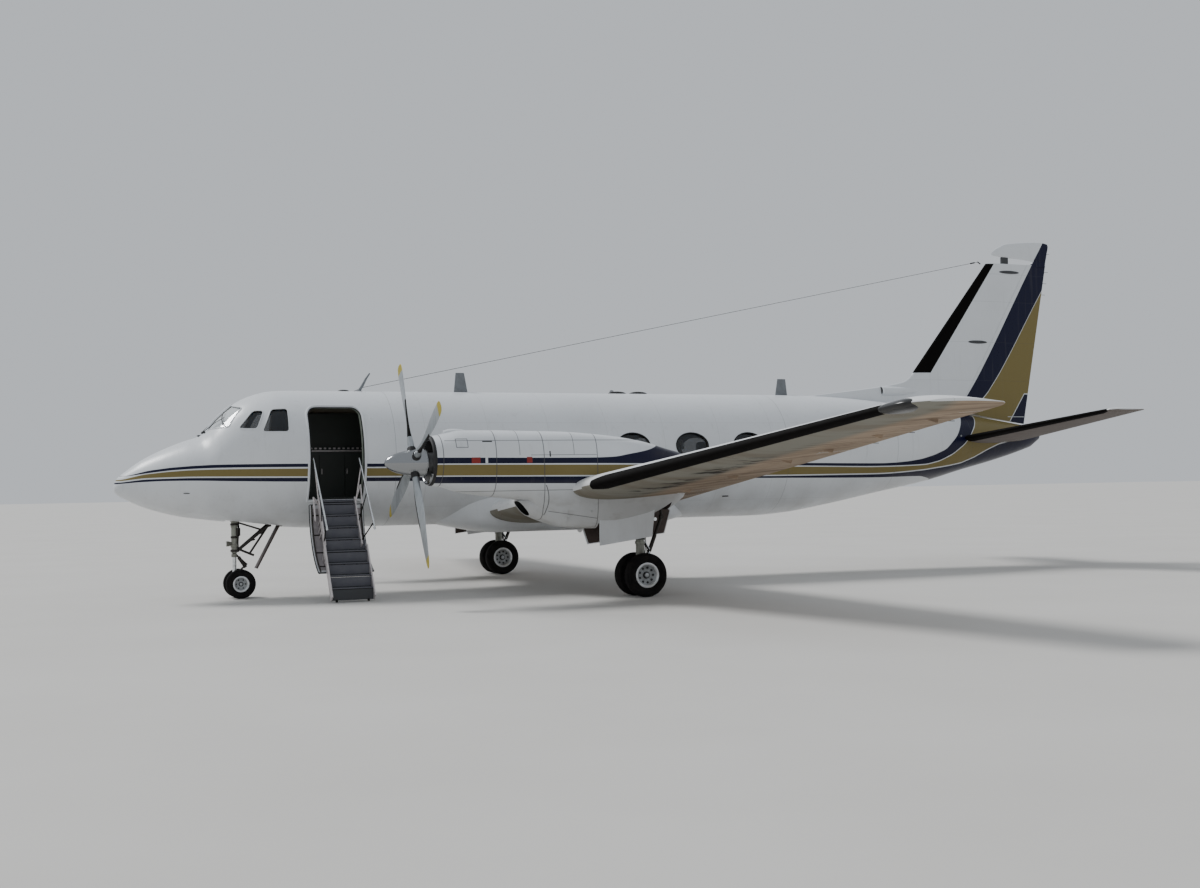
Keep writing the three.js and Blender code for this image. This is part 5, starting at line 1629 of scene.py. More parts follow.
def exhausts():
    """Jet pipes, and the small blister and catches on each nacelle."""
    shape = Shape()
    profile = [(0.15, 0), (0.165, 0.005), (0.17, 0.3), (0.155, 0.31), (0.145, 0.3), (0.135, 0.02)]
    along = (1, 0, 0.04)
    shape.ring(profile, (8.42, GEAR_Y, 2.14), along, 40)
    # Painted shade: a black disc closes the pipe a little way in.
    shape.turned(disc(0.136, 0.01), (8.5, GEAR_Y, 2.145), along, 32, 1)
    sided("jet_pipe", shape, "soot black")
    fittings = Shape().loft([
        oval(x, 2.68 + 0.045 * size, 2.6, 0.04 + 0.06 * size, 20, 2.4, GEAR_Y)
        for x, size in swelling(4.6, 4.98, 14)
    ])
    for x, z in ((6.5, 1.34), (6.9, 1.4)):
        fittings.rod((x, GEAR_Y + 0.42, z), (x, GEAR_Y + 0.445, z), 0.014)
    sided("nacelle_fittings", fittings, "nacelle")


def blade_shape():
    """One blade along z at flat pitch, with a black strip on its front edge."""
    rows = smooth_table(BLADE)
    rings = []
    radii = spread(0.12, 0.7, 14) + spread(0.75, 1.7, 16) + [1.72, 1.735, 1.745, 1.752]
    sides = 28
    for radius in radii:
        chord, thick, twist = rows(radius)
        c, s = math.cos(math.radians(twist)), math.sin(math.radians(twist))
        lens = min(1, max(0, (radius - 0.35) / 0.4))
        ring = []
        for a in around(sides):
            u, v = math.cos(a) * chord, math.sin(a) * thick
            v *= 1 - lens * 0.35 * (1 + math.cos(a)) / 2
            ring.append((u * s + v * c, u * c - v * s, radius))
        rings.append(ring)
    shape = Shape().loft(rings)
    for n in range(len(rings) - 1):
        for k in range(sides // 2 - 4, sides // 2 + 4):
            if 0.4 < radii[n] < 1.02:
                shape.marks[n * sides + k] = 1
    return shape


def propellers():
    """Four blades in black cuffs, and a polished spinner with a ring of screws."""
    blade = blade_shape()
    centre = Matrix.Translation((PROP["x"], GEAR_Y, PROP["z"]))
    sleeve = [(0.06, 0.16), (0.068, 0.17), (0.068, 0.24), (0.064, 0.26), (0.05, 0.26), (0.05, 0.16)]
    cuff = Shape().turned(sleeve, (0, 0, 0), UP, 28)
    hub, cuffs = Shape(), Shape()
    for k in range(PROP["blades"]):
        turn = centre @ Matrix.Rotation(-(BLADE_ANGLE + k * math.tau / PROP["blades"]), 4, "X")
        hub.join(blade, turn)
        cuffs.join(cuff, turn)
    boss = [(0, -0.12), (0.12, -0.11), (0.13, 0), (0.12, 0.11), (0, 0.12)]
    hub.turned(boss, (PROP["x"], GEAR_Y, PROP["z"]), AFT, 32)

    long, radius = PROP["back"] - PROP["tip"], PROP["spinner"]
    profile = []
    for t in spread(0, 1, 26):
        profile.append((radius * math.sqrt(max(0, 1 - (1 - t ** 2) ** 2.1)), t ** 2 * long))
    profile += [(radius - 0.004, long + 0.004), (radius - 0.03, long + 0.006)]
    profile += [(0.13, long - 0.02), (0, long - 0.02)]
    dome = Shape().turned(profile, (PROP["tip"], GEAR_Y, PROP["z"]), AFT, 72)
    screws = Shape()
    for a in around(16):
        out = Vector((0, math.cos(a), math.sin(a)))
        base = Vector((4.305, GEAR_Y, PROP["z"])) + out * (radius - 0.001)
        screws.rod(base - out * 0.006, base + out * 0.003, 0.006, 8)
    across = Matrix.Translation((0, -2 * GEAR_Y, 0))
    for side, sign in SIDES:
        body = f"propeller_{side}"
        blades, roots = (hub, cuffs) if sign > 0 else (hub.moved(across), cuffs.moved(across))
        make(f"blades_{side}", blades, "blade hose", body, [body])
        make(f"blade_cuffs_{side}", roots, "black", body)
        make(f"spinner_dome_{side}", of_side(dome, sign), "polished", body,
             [f"spinner_{side}"])
        make(f"spinner_screws_{side}", of_side(screws, sign), "steel", body)


# Wheels and legs

def tyre_shape(wheel, y):
    """A tyre with shoulder curves and rain grooves."""
    r, half, seat = wheel["radius"], wheel["half"], wheel["seat"]
    wall = r - (r - seat) * 0.42
    side = [(seat, 0.72), (seat + 0.012, 0.84), (wall - 0.03, 0.98), (wall, 1.0), (wall + 0.03, 0.975),
            (r - 0.03, 0.86), (r - 0.01, 0.72), (r - 0.002, 0.58)]
    grooves = []
    for place in (0.45, 0.15, -0.15, -0.45):
        for shift, depth in ((0.05, 0), (0.035, 0.007), (-0.035, 0.007), (-0.05, 0)):
            grooves.append((r - depth, place + shift))
    profile = [(a, b * half) for a, b in side] + [(a, b * half) for a, b in grooves]
    profile += [(a, -b * half) for a, b in reversed(side)]
    return Shape().ring(profile, (wheel["x"], y, r), OUT, 72)


def rim_shape(wheel, y, outward):
    """A dished wheel half with a pale flange, a hub cap, bolts and dark discs painted as the shade in its
    holes.
    """
    r, half, seat = wheel["radius"], wheel["half"], wheel["seat"]
    centre, along = (wheel["x"], y, r), (0, outward, 0)
    shape = Shape()

    def scaled(rows):
        return [(seat * a, half * b) for a, b in rows]

    dish = [(0.2, 0.2), (0.45, 0.16), (0.7, 0.3), (0.84, 0.42), (0.84, 0.1), (0.2, 0.1)]
    shape.ring(scaled(dish), centre, along, 56, 0)
    flange = scaled([(0.84, 0.42), (0.87, 0.76), (0.95, 0.86)])
    flange += [(seat + 0.012, half * 0.82), (seat + 0.004, half * 0.7)]
    flange += scaled([(0.94, 0.6), (0.94, -0.7), (0.84, -0.7)])
    shape.ring(flange, centre, along, 56, 3)
    cap = [(0, 0.66), (0.17, 0.64), (0.2, 0.55), (0.2, 0.1), (0, 0.1)]
    shape.turned(scaled(cap), centre, along, 32, 1)
    # Painted shade: a black ring in the gap around the hub cap.
    shape.ring(scaled([(0.2, 0.2), (0.3, 0.24), (0.3, 0.3), (0.2, 0.34)]), centre, along, 32, 2)

    def stud(a, away, low, high, size, sides, mark):
        start = Vector(centre) + Vector((seat * away * math.cos(a), 0, seat * away * math.sin(a)))
        out = Vector((0, outward * half, 0))
        shape.rod(start + out * low, start + out * high, size, sides, mark)

    for a in around(wheel["bolts"]):
        # Painted shade: dark discs stand for the wheel's holes.
        stud(a, 0.63, 0.16, 0.32, seat * 0.105, 16, 2)
        stud(a + math.pi / wheel["bolts"], 0.45, 0.12, 0.26, 0.008, 6, 1)
    return shape


def wheel_set(wheel, y, body, hides, prefix):
    """Twin tyres and rims on one axle."""
    hub, seat, x, r = wheel["hub"], wheel["seat"], wheel["x"], wheel["radius"]
    rims = Shape()
    for sign in (1, -1):
        rims.join(rim_shape(wheel, y + sign * hub, sign))
    rims.rod((x, y - hub, r), (x, y + hub, r), seat * 0.18, 24, 1)
    for sign in (1, -1):
        drum = collar(seat * 0.35, seat * 0.82, 0.02)
        rims.ring(drum, (x, y + sign * (hub - wheel["half"]), r), (0, sign, 0), 40, 1)
    paints = "rim steel black lip"
    make(f"{prefix}_rims", rims, paints, body, hides["wheels"])
    toward = -1 if y < 0 else 1
    for key, sign in (("outer", 1), ("inner", -1)):
        tyre = tyre_shape(wheel, y + sign * toward * hub)
        make(f"{prefix}_tread_{key}", tyre, "tyre", body, hides[key])


def rods(shape, rows):
    """Round bars, each as start, end, radius, sides and material number."""
    for row in rows:
        shape.rod(*row)


def scissors(shape, top, middle, bottom, half, mark=0):
    """Two hinged torque links: each a pair of tapering arms with a web."""
    def pin(at, reach, size, sides):
        at = Vector(at)
        out = Vector((0, reach, 0))
        shape.rod(at - out, at + out, size, sides, mark)

    for start, end in ((top, middle), (bottom, middle)):
        for sign in (1, -1):
            a = Vector((start[0], start[1] + sign * half, start[2]))
            b = Vector((end[0], end[1] + sign * half * 0.35, end[2]))
            shape.rod(a, b, 0.014, 10, mark)
        pin(Vector(start).lerp(Vector(end), 0.4), half * 0.7, 0.008, 8)
        pin(start, half * 1.2, 0.016, 12)
    pin(middle, half * 0.6, 0.017, 12)


def main_gear():
    """The main legs with their hoses and doors, laid out about a line up from the axle's middle."""
    place = Matrix.Translation((MAIN_WHEEL["x"], GEAR_Y, 0))
    r = MAIN_WHEEL["radius"]
    leg = Shape()
    cylinder = [(0.05, 0), (0.07, 0.01), (0.07, 0.2), (0.082, 0.21), (0.082, 0.25), (0.07, 0.26),
                (0.07, 0.72), (0.085, 0.73), (0.085, 0.8), (0.07, 0.81), (0.07, 1.02), (0.05, 1.03)]
    leg.turned(cylinder, (0, 0, 0.64), UP, 40)
    leg.turned(disc(0.052, 0.3), (0, 0, 0.42), UP, 36, 1)
    rods(leg, (
        ((0, -0.1, r), (0, 0.1, r), 0.062, 28, 0, 0.008),
        ((0, 0, r), (0, 0, 0.46), 0.066, 28, 0, 0.008),
        ((0.05, 0, 0.45), (0.392, 0, 1.29), 0.026, 18, 2),
        ((0.392, 0, 1.27), (0.34, 0, 1.76), 0.022, 18, 2),
        ((0.16, 0, 0.72), (0.27, 0, 0.99), 0.033, 18, 2),
        ((0.39, -0.035, 1.285), (0.39, 0.035, 1.285), 0.034, 18, 2),
        ((0.29, -0.05, 1.243), (0.29, -0.02, 1.243), 0.03, 18, 1),
        ((0.06, 0, 1.25), (0.29, -0.035, 1.243), 0.014, 12, 1),
    ))
    for sign in (1, -1):
        rods(leg, (
            ((0.35, sign * 0.02, 1.6), (0.05, sign * 0.24, 1.68), 0.016, 12, 2),
            ((0, sign * 0.06, 1.36), (0, sign * 0.33, 1.4), 0.042, 20, 0),
            ((0, sign * 0.25, 1.4), (0, sign * 0.33, 1.4), 0.056, 20, 1),
        ))
    scissors(leg, (0.05, 0, 0.9), (0.17, 0, 0.74), (0.04, 0, 0.53), 0.045, 1)
    hoses = Shape()
    for shift in (-0.035, 0.0, 0.035):
        path = [(0.072, shift, 1.62), (0.082, shift, 1.2), (0.085, shift * 1.3, 0.86),
                (0.11, shift * 1.6, 0.66), (0.08, shift * 2, 0.5), (0.05, shift * 2.4, 0.4)]
        hoses.tube(curve_through(path), 0.0075, 8)
    for z in (0.92, 1.12, 1.5):
        hoses.ring(collar(0.071, 0.078, 0.022), (0, 0, z), UP, 32)
    paints = "gear chrome brace"
    sided("main_leg_detail", leg.moved(place), paints, replaces=["main_leg"])
    sided("main_leg_hoses", hoses.moved(place), "hose")
    main_doors()
    well_parts()


def curve_through(points):
    """A smooth path through points, in six lengths between each pair."""
    path = []
    ends = [points[0]] + list(points) + [points[-1]]
    for k in range(1, len(ends) - 2):
        a, b, c, d = (Vector(ends[j]) for j in (k - 1, k, k + 1, k + 2))
        bend, twist = 2 * a - 5 * b + 4 * c - d, 3 * b - a - 3 * c + d
        for t in spread(0, 1, 7)[:-1]:
            path.append(0.5 * (2 * b + (c - a) * t + bend * t * t + twist * t ** 3))
    return path + [Vector(points[-1])]


def door_panel(outline, y, ribs):
    """A gear door that hangs open: white outside, dull brown inside, with ribs."""
    shape = Shape().plate(dense(outline, 0.2), "y", y - 0.012, y + 0.012, 0, 0.004)
    inward = -1 if y > GEAR_Y else 1
    face = y + inward * 0.012
    lining = rounded(outline, 0.02, 3)
    middle = [sum(p[k] for p in lining) / len(lining) for k in (0, 1)]
    lining = [(middle[0] + (u - middle[0]) * 0.975, middle[1] + (v - middle[1]) * 0.96) for u, v in lining]
    # The lining's dull brown is partly painted shade.
    shape.plate(lining, "y", *sorted((face - inward * 0.001, face + inward * 0.004)), 1, 0.001)
    bottom, top = min(z for _, z in outline) + 0.16, max(z for _, z in outline) - 0.12
    near, far = sorted((face, face + inward * 0.026))
    for x in ribs:
        shape.box((x - 0.012, near, bottom), (x + 0.012, far, top), 1)
    return shape


def main_doors():
    """The main gear's doors, hanging open on both sides of each wheel well."""
    outer = [(7.055, 1.4), (8.01, 1.4), (7.96, 0.975), (7.05, 0.855)]
    inner = [(7.042, 1.4), (8.33, 1.49), (8.5, 1.47), (8.62, 1.38), (8.5, 0.995), (7.118, 0.855),
             (7.042, 1.087)]
    paints = "white bay"
    ribs = spread(7.2, 7.85, 4)
    rows = (("outer", outer, DOOR_OUT, ribs), ("inner", inner, -DOOR_OUT, ribs + [8.1, 8.3]))
    for name, outline, out, places in rows:
        panel = door_panel(outline, GEAR_Y + out, places)
        sided(f"{name}_door", panel, paints, replaces=[f"main_door_{name}"])


def well_parts():
    """Ribs, pipes and a retraction jack inside the wheel well."""
    shape = Shape()
    for x in spread(7.14, 8.24, 6):
        shape.box((x - 0.012, GEAR_Y - 0.32, 1.62), (x + 0.012, GEAR_Y + 0.32, 1.69), 0)
    for y in (-0.26, -0.2, 0.22):
        path = [(x, GEAR_Y + y, 1.6 + 0.012 * math.sin(9 * x)) for x in spread(7.06, 8.3, 18)]
        shape.tube(path, 0.011, 8, 1)
    shape.rod((7.12, GEAR_Y + 0.1, 1.56), (7.82, GEAR_Y + 0.1, 1.42), 0.034, 20, 0)
    shape.rod((7.7, GEAR_Y + 0.1, 1.445), (7.88, GEAR_Y + 0.1, 1.41), 0.02, 16, 2)
    sided("well_parts", shape, "bay hose chrome")


def nose_gear():
    """The nose leg with its struts, the steered fork, the wheels and the door, laid out from STEER."""
    x, z0 = STEER["x"], STEER["z"]
    place = Matrix.Translation((x, 0, 0))
    leg = Shape()
    cylinder = [(0.035, 0), (0.05, 0.01), (0.05, 0.1), (0.062, 0.11), (0.062, 0.15), (0.05, 0.16),
                (0.05, 0.44), (0.058, 0.45), (0.058, 0.5), (0.05, 0.51), (0.05, 0.73), (0.03, 0.74)]
    leg.turned(cylinder, (0, 0, z0), UP, 36)
    for sign in (1, -1):
        top, foot = Vector((0.73, sign * 0.12, 1.37)), Vector((0.04, sign * 0.03, 0.8))
        rods(leg, (
            (foot, top, 0.024, 16, 2),
            ((0.03, sign * 0.06, 1.3), foot.lerp(top, 0.62), 0.014, 12, 2),
            ((0, sign * 0.04, 1.46), (0, sign * 0.205, 1.46), 0.03, 18, 0),
        ))
        for t in (0.3, 0.5, 0.7):
            here = foot.lerp(top, t)
            leg.rod(here, (here.x + 0.1, 0, here.z + 0.02), 0.012, 8, 2)
    rods(leg, (
        ((0.73, -0.205, 1.37), (0.73, 0.205, 1.37), 0.022, 18, 2),
        ((0.06, 0, 0.84), (0.33, 0, 0.72), 0.02, 14, 2),
        ((0.25, 0, 0.745), (0.57, 0, 1.22), 0.018, 16, 2),
        ((-0.128, 0, 0.93), (-0.136, 0, 0.93), 0.038, 28, 1),
    ))
    for z, size in ((0.79, 0.066), (1.02, 0.06), (1.24, 0.066)):
        leg.ring([(0.048, 0), (size, 0.004), (size, 0.036), (0.048, 0.04)], (0, 0, z), UP, 32, 2)
    leg.box((-0.05, -0.11, 1.29), (0.06, 0.11, 1.36), 0, 0.012)
    leg.box((0.02, -0.05, 1.06), (0.1, 0.05, 1.2), 2, 0.01)
    lamp = [(0, 0), (0.02, 0), (0.035, 0.02), (0.045, 0.06), (0.045, 0.09), (0.04, 0.094)]
    leg.turned(lamp, (-0.04, 0, 0.93), (-1, 0, 0), 28)
    hoses = Shape()
    for sign in (1, -1):
        path = [(0.05, 0.04, 1.44), (0.075, 0.05, 1.2), (0.06, 0.055, 0.95), (0.07, 0.05, 0.79)]
        hoses.tube(curve_through([(px, sign * y, z) for px, y, z in path]), 0.008, 8)
    paints = "gear screen brace"
    make("nose_leg_detail", leg.moved(place), paints, replaces=["nose_leg"])
    make("nose_leg_hoses", hoses.moved(place), "hose")

    r, axle = NOSE_WHEEL["radius"], NOSE_WHEEL["x"] - x
    fork = Shape()
    fork.turned(disc(0.034, 0.4), (0, 0, r + 0.09), UP, 32, 1)
    fork.turned([(0.03, 0), (0.052, 0.006), (0.052, 0.055), (0.03, 0.06)], (0, 0, z0 - 0.062), UP, 32)
    outline = [(-0.068, r - 0.03), (axle, r - 0.05), (axle + 0.045, r), (axle + 0.02, r + 0.045),
               (0.045, r + 0.12), (-0.045, r + 0.12), (-0.068, r + 0.03)]
    fork.plate(outline, "y", -0.036, 0.036, 0, 0.01)
    fork.rod((axle, -0.05, r), (axle, 0.05, r), 0.045, 24)
    scissors(fork, (0.045, 0, 0.725), (0.2, 0, 0.575), (0.04, 0, 0.42), 0.035, 2)
    fork.rod((0.07, 0, 0.7), (0.19, 0, 0.52), 0.03, 18, 2)
    paints = "gear chrome brace"
    make("nose_fork_detail", fork.moved(place), paints, "nose_fork", ["nose_fork"])
    hides = {"wheels": ["nose_wheels"], "outer": ["nose_tyre_right"], "inner": ["nose_tyre_left"]}
    wheel_set(NOSE_WHEEL, 0, "nose_wheels", hides, "nose")

    outline = [(2.3, 0.5), (2.322, 0.492), (2.7, 1.205), (2.7397, 1.222), (2.7397, 1.27), (2.68, 1.23)]
    door = Shape().plate(outline, "y", -0.12, 0.12, 0, 0.004)
    make("nose_door", door, "bay", replaces=["nose_gear_door"])


def wheels():
    """The main wheels of both sides."""
    for side, sign in SIDES:
        hides = {"wheels": [f"main_wheels_{side}"], "outer": [f"main_tyre_outer_{side}"],
                 "inner": [f"main_tyre_inner_{side}"]}
        wheel_set(MAIN_WHEEL, sign * GEAR_Y, f"main_wheels_{side}", hides, f"main_{side}")


# Airstair

RUN = STAIR["head"] - STAIR["foot"]
SLOPE = math.atan2(STAIR["z"], RUN)
STAIR_LONG = math.hypot(RUN, STAIR["z"])


def on_stair(along, off=0.0):
    """A point of the (y, z) plane, measured down the stair's line and off it."""
    return (STAIR["head"] - along * math.cos(SLOPE) - off * math.sin(SLOPE),
            STAIR["z"] - along * math.sin(SLOPE) + off * math.cos(SLOPE))


def flight_shape(low, high, front, rear, first):
    """One flight: two pale cheeks, and dark treads and risers with grip strips."""
    shape = Shape()
    for x in (front, rear - 0.024):
        side = [on_stair(low, -0.03), on_stair(high, -0.03), on_stair(high, 0.09), on_stair(low, 0.09)]
        shape.plate(side, "x", x, x + 0.024, 0, 0.004)
        edge = [on_stair(a, 0.092) for a in spread(low, high, 10)]
        shape.tube([(x + 0.012, y, z) for y, z in edge], 0.014, 8, 0)
    half, thick = STAIR["depth"] / 2, STAIR["thick"] / 2
    for k in range(STAIR["steps"]):
        y, z = on_stair((first + k + STAIR["first"]) * STAIR["pitch"], 0.02)
        top = min(z + STAIR["riser"], DOOR["sill"] - 0.01)
        low_edge, back, over, under = y - half, y + half, z + thick, z - thick
        bars = [
            (0.02, low_edge, back, under, over, 1, 0.004),
            (0.02, back - 0.015, back, z, top, 1, 0.003),
            (0.02, low_edge - 0.004, low_edge + 0.01, under - 0.003, under + 0.006, 3, 0.002),
            (0.022, back - 0.019, back - 0.013, over, over + 0.01, 3, 0.002),
        ]
        for at in spread(low_edge + 0.035, low_edge + 0.123, 5):
            bars.append((0.035, at - 0.004, at + 0.004, over, over + 0.004, 2, 0.0015))
        for inset, y0, y1, z0, z1, mark, cut in bars:
            shape.box((front + inset, y0, z0), (rear - inset, y1, z1), mark, cut)
    return shape


def skin_arc(depth):
    """Points (y, z) along the hanging door's curve, at a depth from its outer face."""
    radius, reach, middle = DOOR_SKIN["radius"], DOOR_SKIN["reach"], DOOR_SKIN["middle"]
    size = radius - depth
    centre = on_stair(middle, math.sqrt(radius ** 2 - middle ** 2) - DOOR_SKIN["drop"])
    sweep = math.asin(reach / radius)
    points = []
    for t in spread(1, -1, 25):
        turn = SLOPE + math.pi / 2 + sweep * t
        points.append((centre[0] - size * math.cos(turn), centre[1] - size * math.sin(turn)))
    return points


def airstair():
    """The two flights, with handrails and hinge arms on the upper one."""
    middle = STAIR["pitch"] * STAIR["steps"]
    front, rear = STAIR["front"], STAIR["rear"]
    paints = "stair tread trim hose chrome"
    upper = flight_shape(0, middle - 0.002, front, rear, 0)
    for x in (front, rear - 0.024):
        upper.box((x, -1.12, 1.595), (x + 0.024, -0.87, 1.64), 0)
    upper.box((front + 0.01, -1.16, 1.615), (rear - 0.01, -0.95, 1.632), 1)
    for at, side in ((RAIL["front"], front + 0.012), (RAIL["rear"], rear - 0.012)):
        start, end = Vector((at, *RAIL["start"])), Vector((at, *RAIL["end"]))
        hook, foot = start + Vector((0, 0.012, -0.03)), end + Vector((0, 0.01, -0.03))
        upper.tube(curve_through([hook, start, start.lerp(end, 0.5), end, foot]), 0.016, 12, 4)
        for part, along, off, size, mark in ((0.95, 0.85, 0.03, 0.011, 3), (0.1, 0.14, 0.03, 0.011, 0),
                                             (0.5, 0.5, 0.05, 0.009, 3)):
            upper.rod(start.lerp(end, part), (side, *on_stair(along, off)), size, 10, mark)
    for x, side, *path in ((3.09, front + 0.012, (-1.15, 1.7), (-1.22, 1.52), (-1.3, 1.3)),
                           (3.9, rear - 0.012, (-1.08, 1.9), (-1.13, 1.76), (-1.2, 1.58))):
        upper.tube(curve_through([(x, y, z) for y, z in path]), 0.014)
        upper.rod((x, *path[0]), (side, *on_stair(0.08)), 0.014, 10)
    upper.join(stair_frames(0.33, 0.62, front, rear))
    make("upper_flight", upper, paints, replaces=["airstair_upper"])

    low_front, low_rear = STAIR["low_front"], STAIR["low_rear"]
    lower = flight_shape(middle + 0.002, STAIR_LONG - 0.06, low_front, low_rear, STAIR["steps"])
    last_y, last_z = on_stair((2 * STAIR["steps"] - 1 + STAIR["first"]) * STAIR["pitch"], 0.02)
    lower.box((low_front + 0.01, last_y - 0.075, 0.04), (low_rear - 0.01, last_y - 0.06, last_z - 0.012), 2)
    for x in (low_front + 0.1, low_rear - 0.1):
        lower.rod((x - 0.016, last_y - 0.068, 0.034), (x + 0.016, last_y - 0.068, 0.034), 0.024, 20, 3)
        lower.box((x - 0.014, last_y - 0.08, 0.03), (x + 0.014, last_y - 0.056, 0.07), 2)
    lower.join(stair_frames(0.98, 1.2, low_front, low_rear))
    make("lower_flight", lower, paints, replaces=["airstair_lower"])

    door_shell()


def door_shell():
    """The door's outer skin, hanging below the steps, with its liner, ribs and rubber edge."""
    skin = Shape()
    x0, x1 = DOOR["front"] + 0.005, DOOR["rear"] - 0.005

    def across(arc, inset, mark=0):
        skin.loft([[(x, y, z) for y, z in arc] for x in (x0 + inset, x1 - inset)], mark)

    across(skin_arc(0) + skin_arc(0.03)[::-1], 0)
    across(skin_arc(0.029)[1:-1] + skin_arc(0.034)[1:-1][::-1], 0.02, 2)
    for y, z in skin_arc(0.035)[3:-1:6]:
        skin.rod((x0 + 0.02, y, z), (x1 - 0.02, y, z), 0.012, 10, 3)
    for x in spread(x0 + 0.03, x1 - 0.03, 5):
        skin.tube([(x, y, z) for y, z in skin_arc(0.045)], 0.013, 8, 3)
    for x in (x0, x1):
        skin.tube([(x, y, z) for y, z in skin_arc(0.014)], 0.014, 8, 1)
    for y, z in (skin_arc(0.014)[0], skin_arc(0.014)[-1]):
        skin.tube([(x0, y, z), (x1, y, z)], 0.014, 8, 1)
    paints = "livery seal liner brace"
    make("door_shell", skin, paints, replaces=["door_skin"])


def stair_frames(low, high, front, rear):
    """Hangers between the steps and the door skin below them."""
    shape = Shape()
    deep = skin_arc(0.03)
    for x in (front, rear - 0.024):
        for along in spread(low + 0.03, high - 0.03, 3):
            start = on_stair(along, -0.02)
            target = min(deep, key=lambda p: abs(
                (p[0] - start[0]) * math.cos(SLOPE) + (p[1] - start[1]) * math.sin(SLOPE)))
            shape.rod((x + 0.012, *start), (x + 0.012, *target), 0.011, 10, 0)
    return shape


# Inside

def interior():
    """Materials of the floor and bulkheads, the instrument panel, the vestibule and the seats."""
    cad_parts["cabin_floor"].data.materials[0] = LOOK["carpet"]
    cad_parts["cockpit_bulkhead"].data.materials[0] = LOOK["wood"]
    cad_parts["aft_bulkhead"].data.materials[0] = LOOK["lining"]
    panel = Shape()
    shelf = []
    for x in spread(1.36, 1.99, 8):
        half = skin_y(x, 2.775) - WALL - 0.012
        shelf.append([(x, y, z) for y, z in ((-half, 2.765), (half, 2.765),
                                             (half - 0.01, 2.789), (0.01 - half, 2.789))])
    panel.loft(shelf, 0)
    half = skin_y(1.9, 2.6) - WALL - 0.05
    panel.box((1.78, -half, 2.33), (1.84, half, 2.765), 0, 0.01)
    panel.box((1.78, -0.13, FLOOR + 0.001), (2.42, 0.13, 2.33), 0, 0.02)
    for y in (-0.62, -0.44, -0.26, 0.26, 0.44, 0.62):
        for z in (2.66, 2.49):
            panel.ring([(0.066, 0), (0.072, 0), (0.072, 0.012), (0.062, 0.012)], (1.84, y, z), AFT, 28, 2)
            panel.rod((1.84, y, z), (1.845, y, z), 0.062, 28, 1)
            panel.rod((1.846, y, z), (1.848, y + 0.03, z + 0.03), 0.003, 6, 3)
    for y in (-0.09, 0.09):
        for z in (2.68, 2.6, 2.52, 2.44):
            panel.rod((1.84, y, z), (1.845, y, z), 0.032, 20, 1)
    for y in (-0.05, 0, 0.05):
        panel.rod((2.15, y, 2.32), (2.12, y, 2.42), 0.008, 10, 2)
    for sign in (1, -1):
        y = sign * PILOTS["y"]
        panel.rod((1.86, y, 2.3), (2.14, y, 2.42), 0.016, 12, 0)
        wheel = [(2.15, y + 0.15 * math.sin(a), 2.42 + 0.13 * math.cos(a)) for a in spread(-2.2, 2.2, 20)]
        panel.tube(wheel, 0.014, 8, 0)
    paints = "trim dial steel white"
    make("instrument_panel_detail", panel, paints, replaces=["instrument_panel"])
    vestibule()
    seats()


def vestibule():
    """The galley wall facing the doorway, with a pale rail and fittings."""
    wall = Shape()
    wall.box((3.0, 0.62, FLOOR + 0.002), (4.45, 0.66, 3.2), 0, 0.006)
    wall.box((3.05, 0.4, FLOOR + 0.002), (4.4, 0.62, 2.52), 0, 0.01)
    wall.box((3.03, 0.385, 2.5), (4.42, 0.64, 2.53), 1, 0.006)
    for x in spread(3.1, 4.35, 16):
        wall.box((x - 0.022, 0.375, 2.545), (x + 0.022, 0.386, 2.575), 1, 0.003)
    for x in (3.5, 3.95):
        wall.box((x - 0.005, 0.392, 1.7), (x + 0.005, 0.4, 2.45), 2, 0.002)
        wall.box((x + 0.03, 0.38, 2.1), (x + 0.05, 0.4, 2.2), 1, 0.003)
    wall.box((4.4, -0.86, FLOOR + 0.002), (4.44, -0.38, 2.95), 0, 0.006)
    make("galley_wall", wall, "wall stair black")


def seats():
    """Cabin seats in rows, one to port and two to starboard, and the pilots' seats."""
    frames = {"right": Shape(), "left": Shape()}
    for row in range(SEATS["rows"]):
        x = SEATS["first"] + SEATS["pitch"] * row
        for side in ("left", "right"):
            for n, y in enumerate(SEATS[side]):
                seat(f"cabin_{side}_{row + 1}_{n + 1}", x, y, 0.2, SEATS["top"], frames[side])
    paints = "steel trim"
    for side, shape in frames.items():
        y = sum(SEATS[side]) / len(SEATS[side])
        for shift in (-0.15, 0.15):
            x0, x1 = SEATS["rails"]
            shape.box((x0, y + shift - 0.012, FLOOR + 0.001), (x1, y + shift + 0.012, FLOOR + 0.03))
        make(f"seat_frames_{side}", shape, paints, replaces=[f"cabin_seats_{side}"])
    for side, sign in SIDES:
        base = Shape()
        seat(f"pilot_{side}", PILOTS["x"], sign * PILOTS["y"], 0.21, PILOTS["top"], base)
        make(f"pilot_seat_frame_{side}", base, paints, replaces=[f"pilot_seat_{side}"])


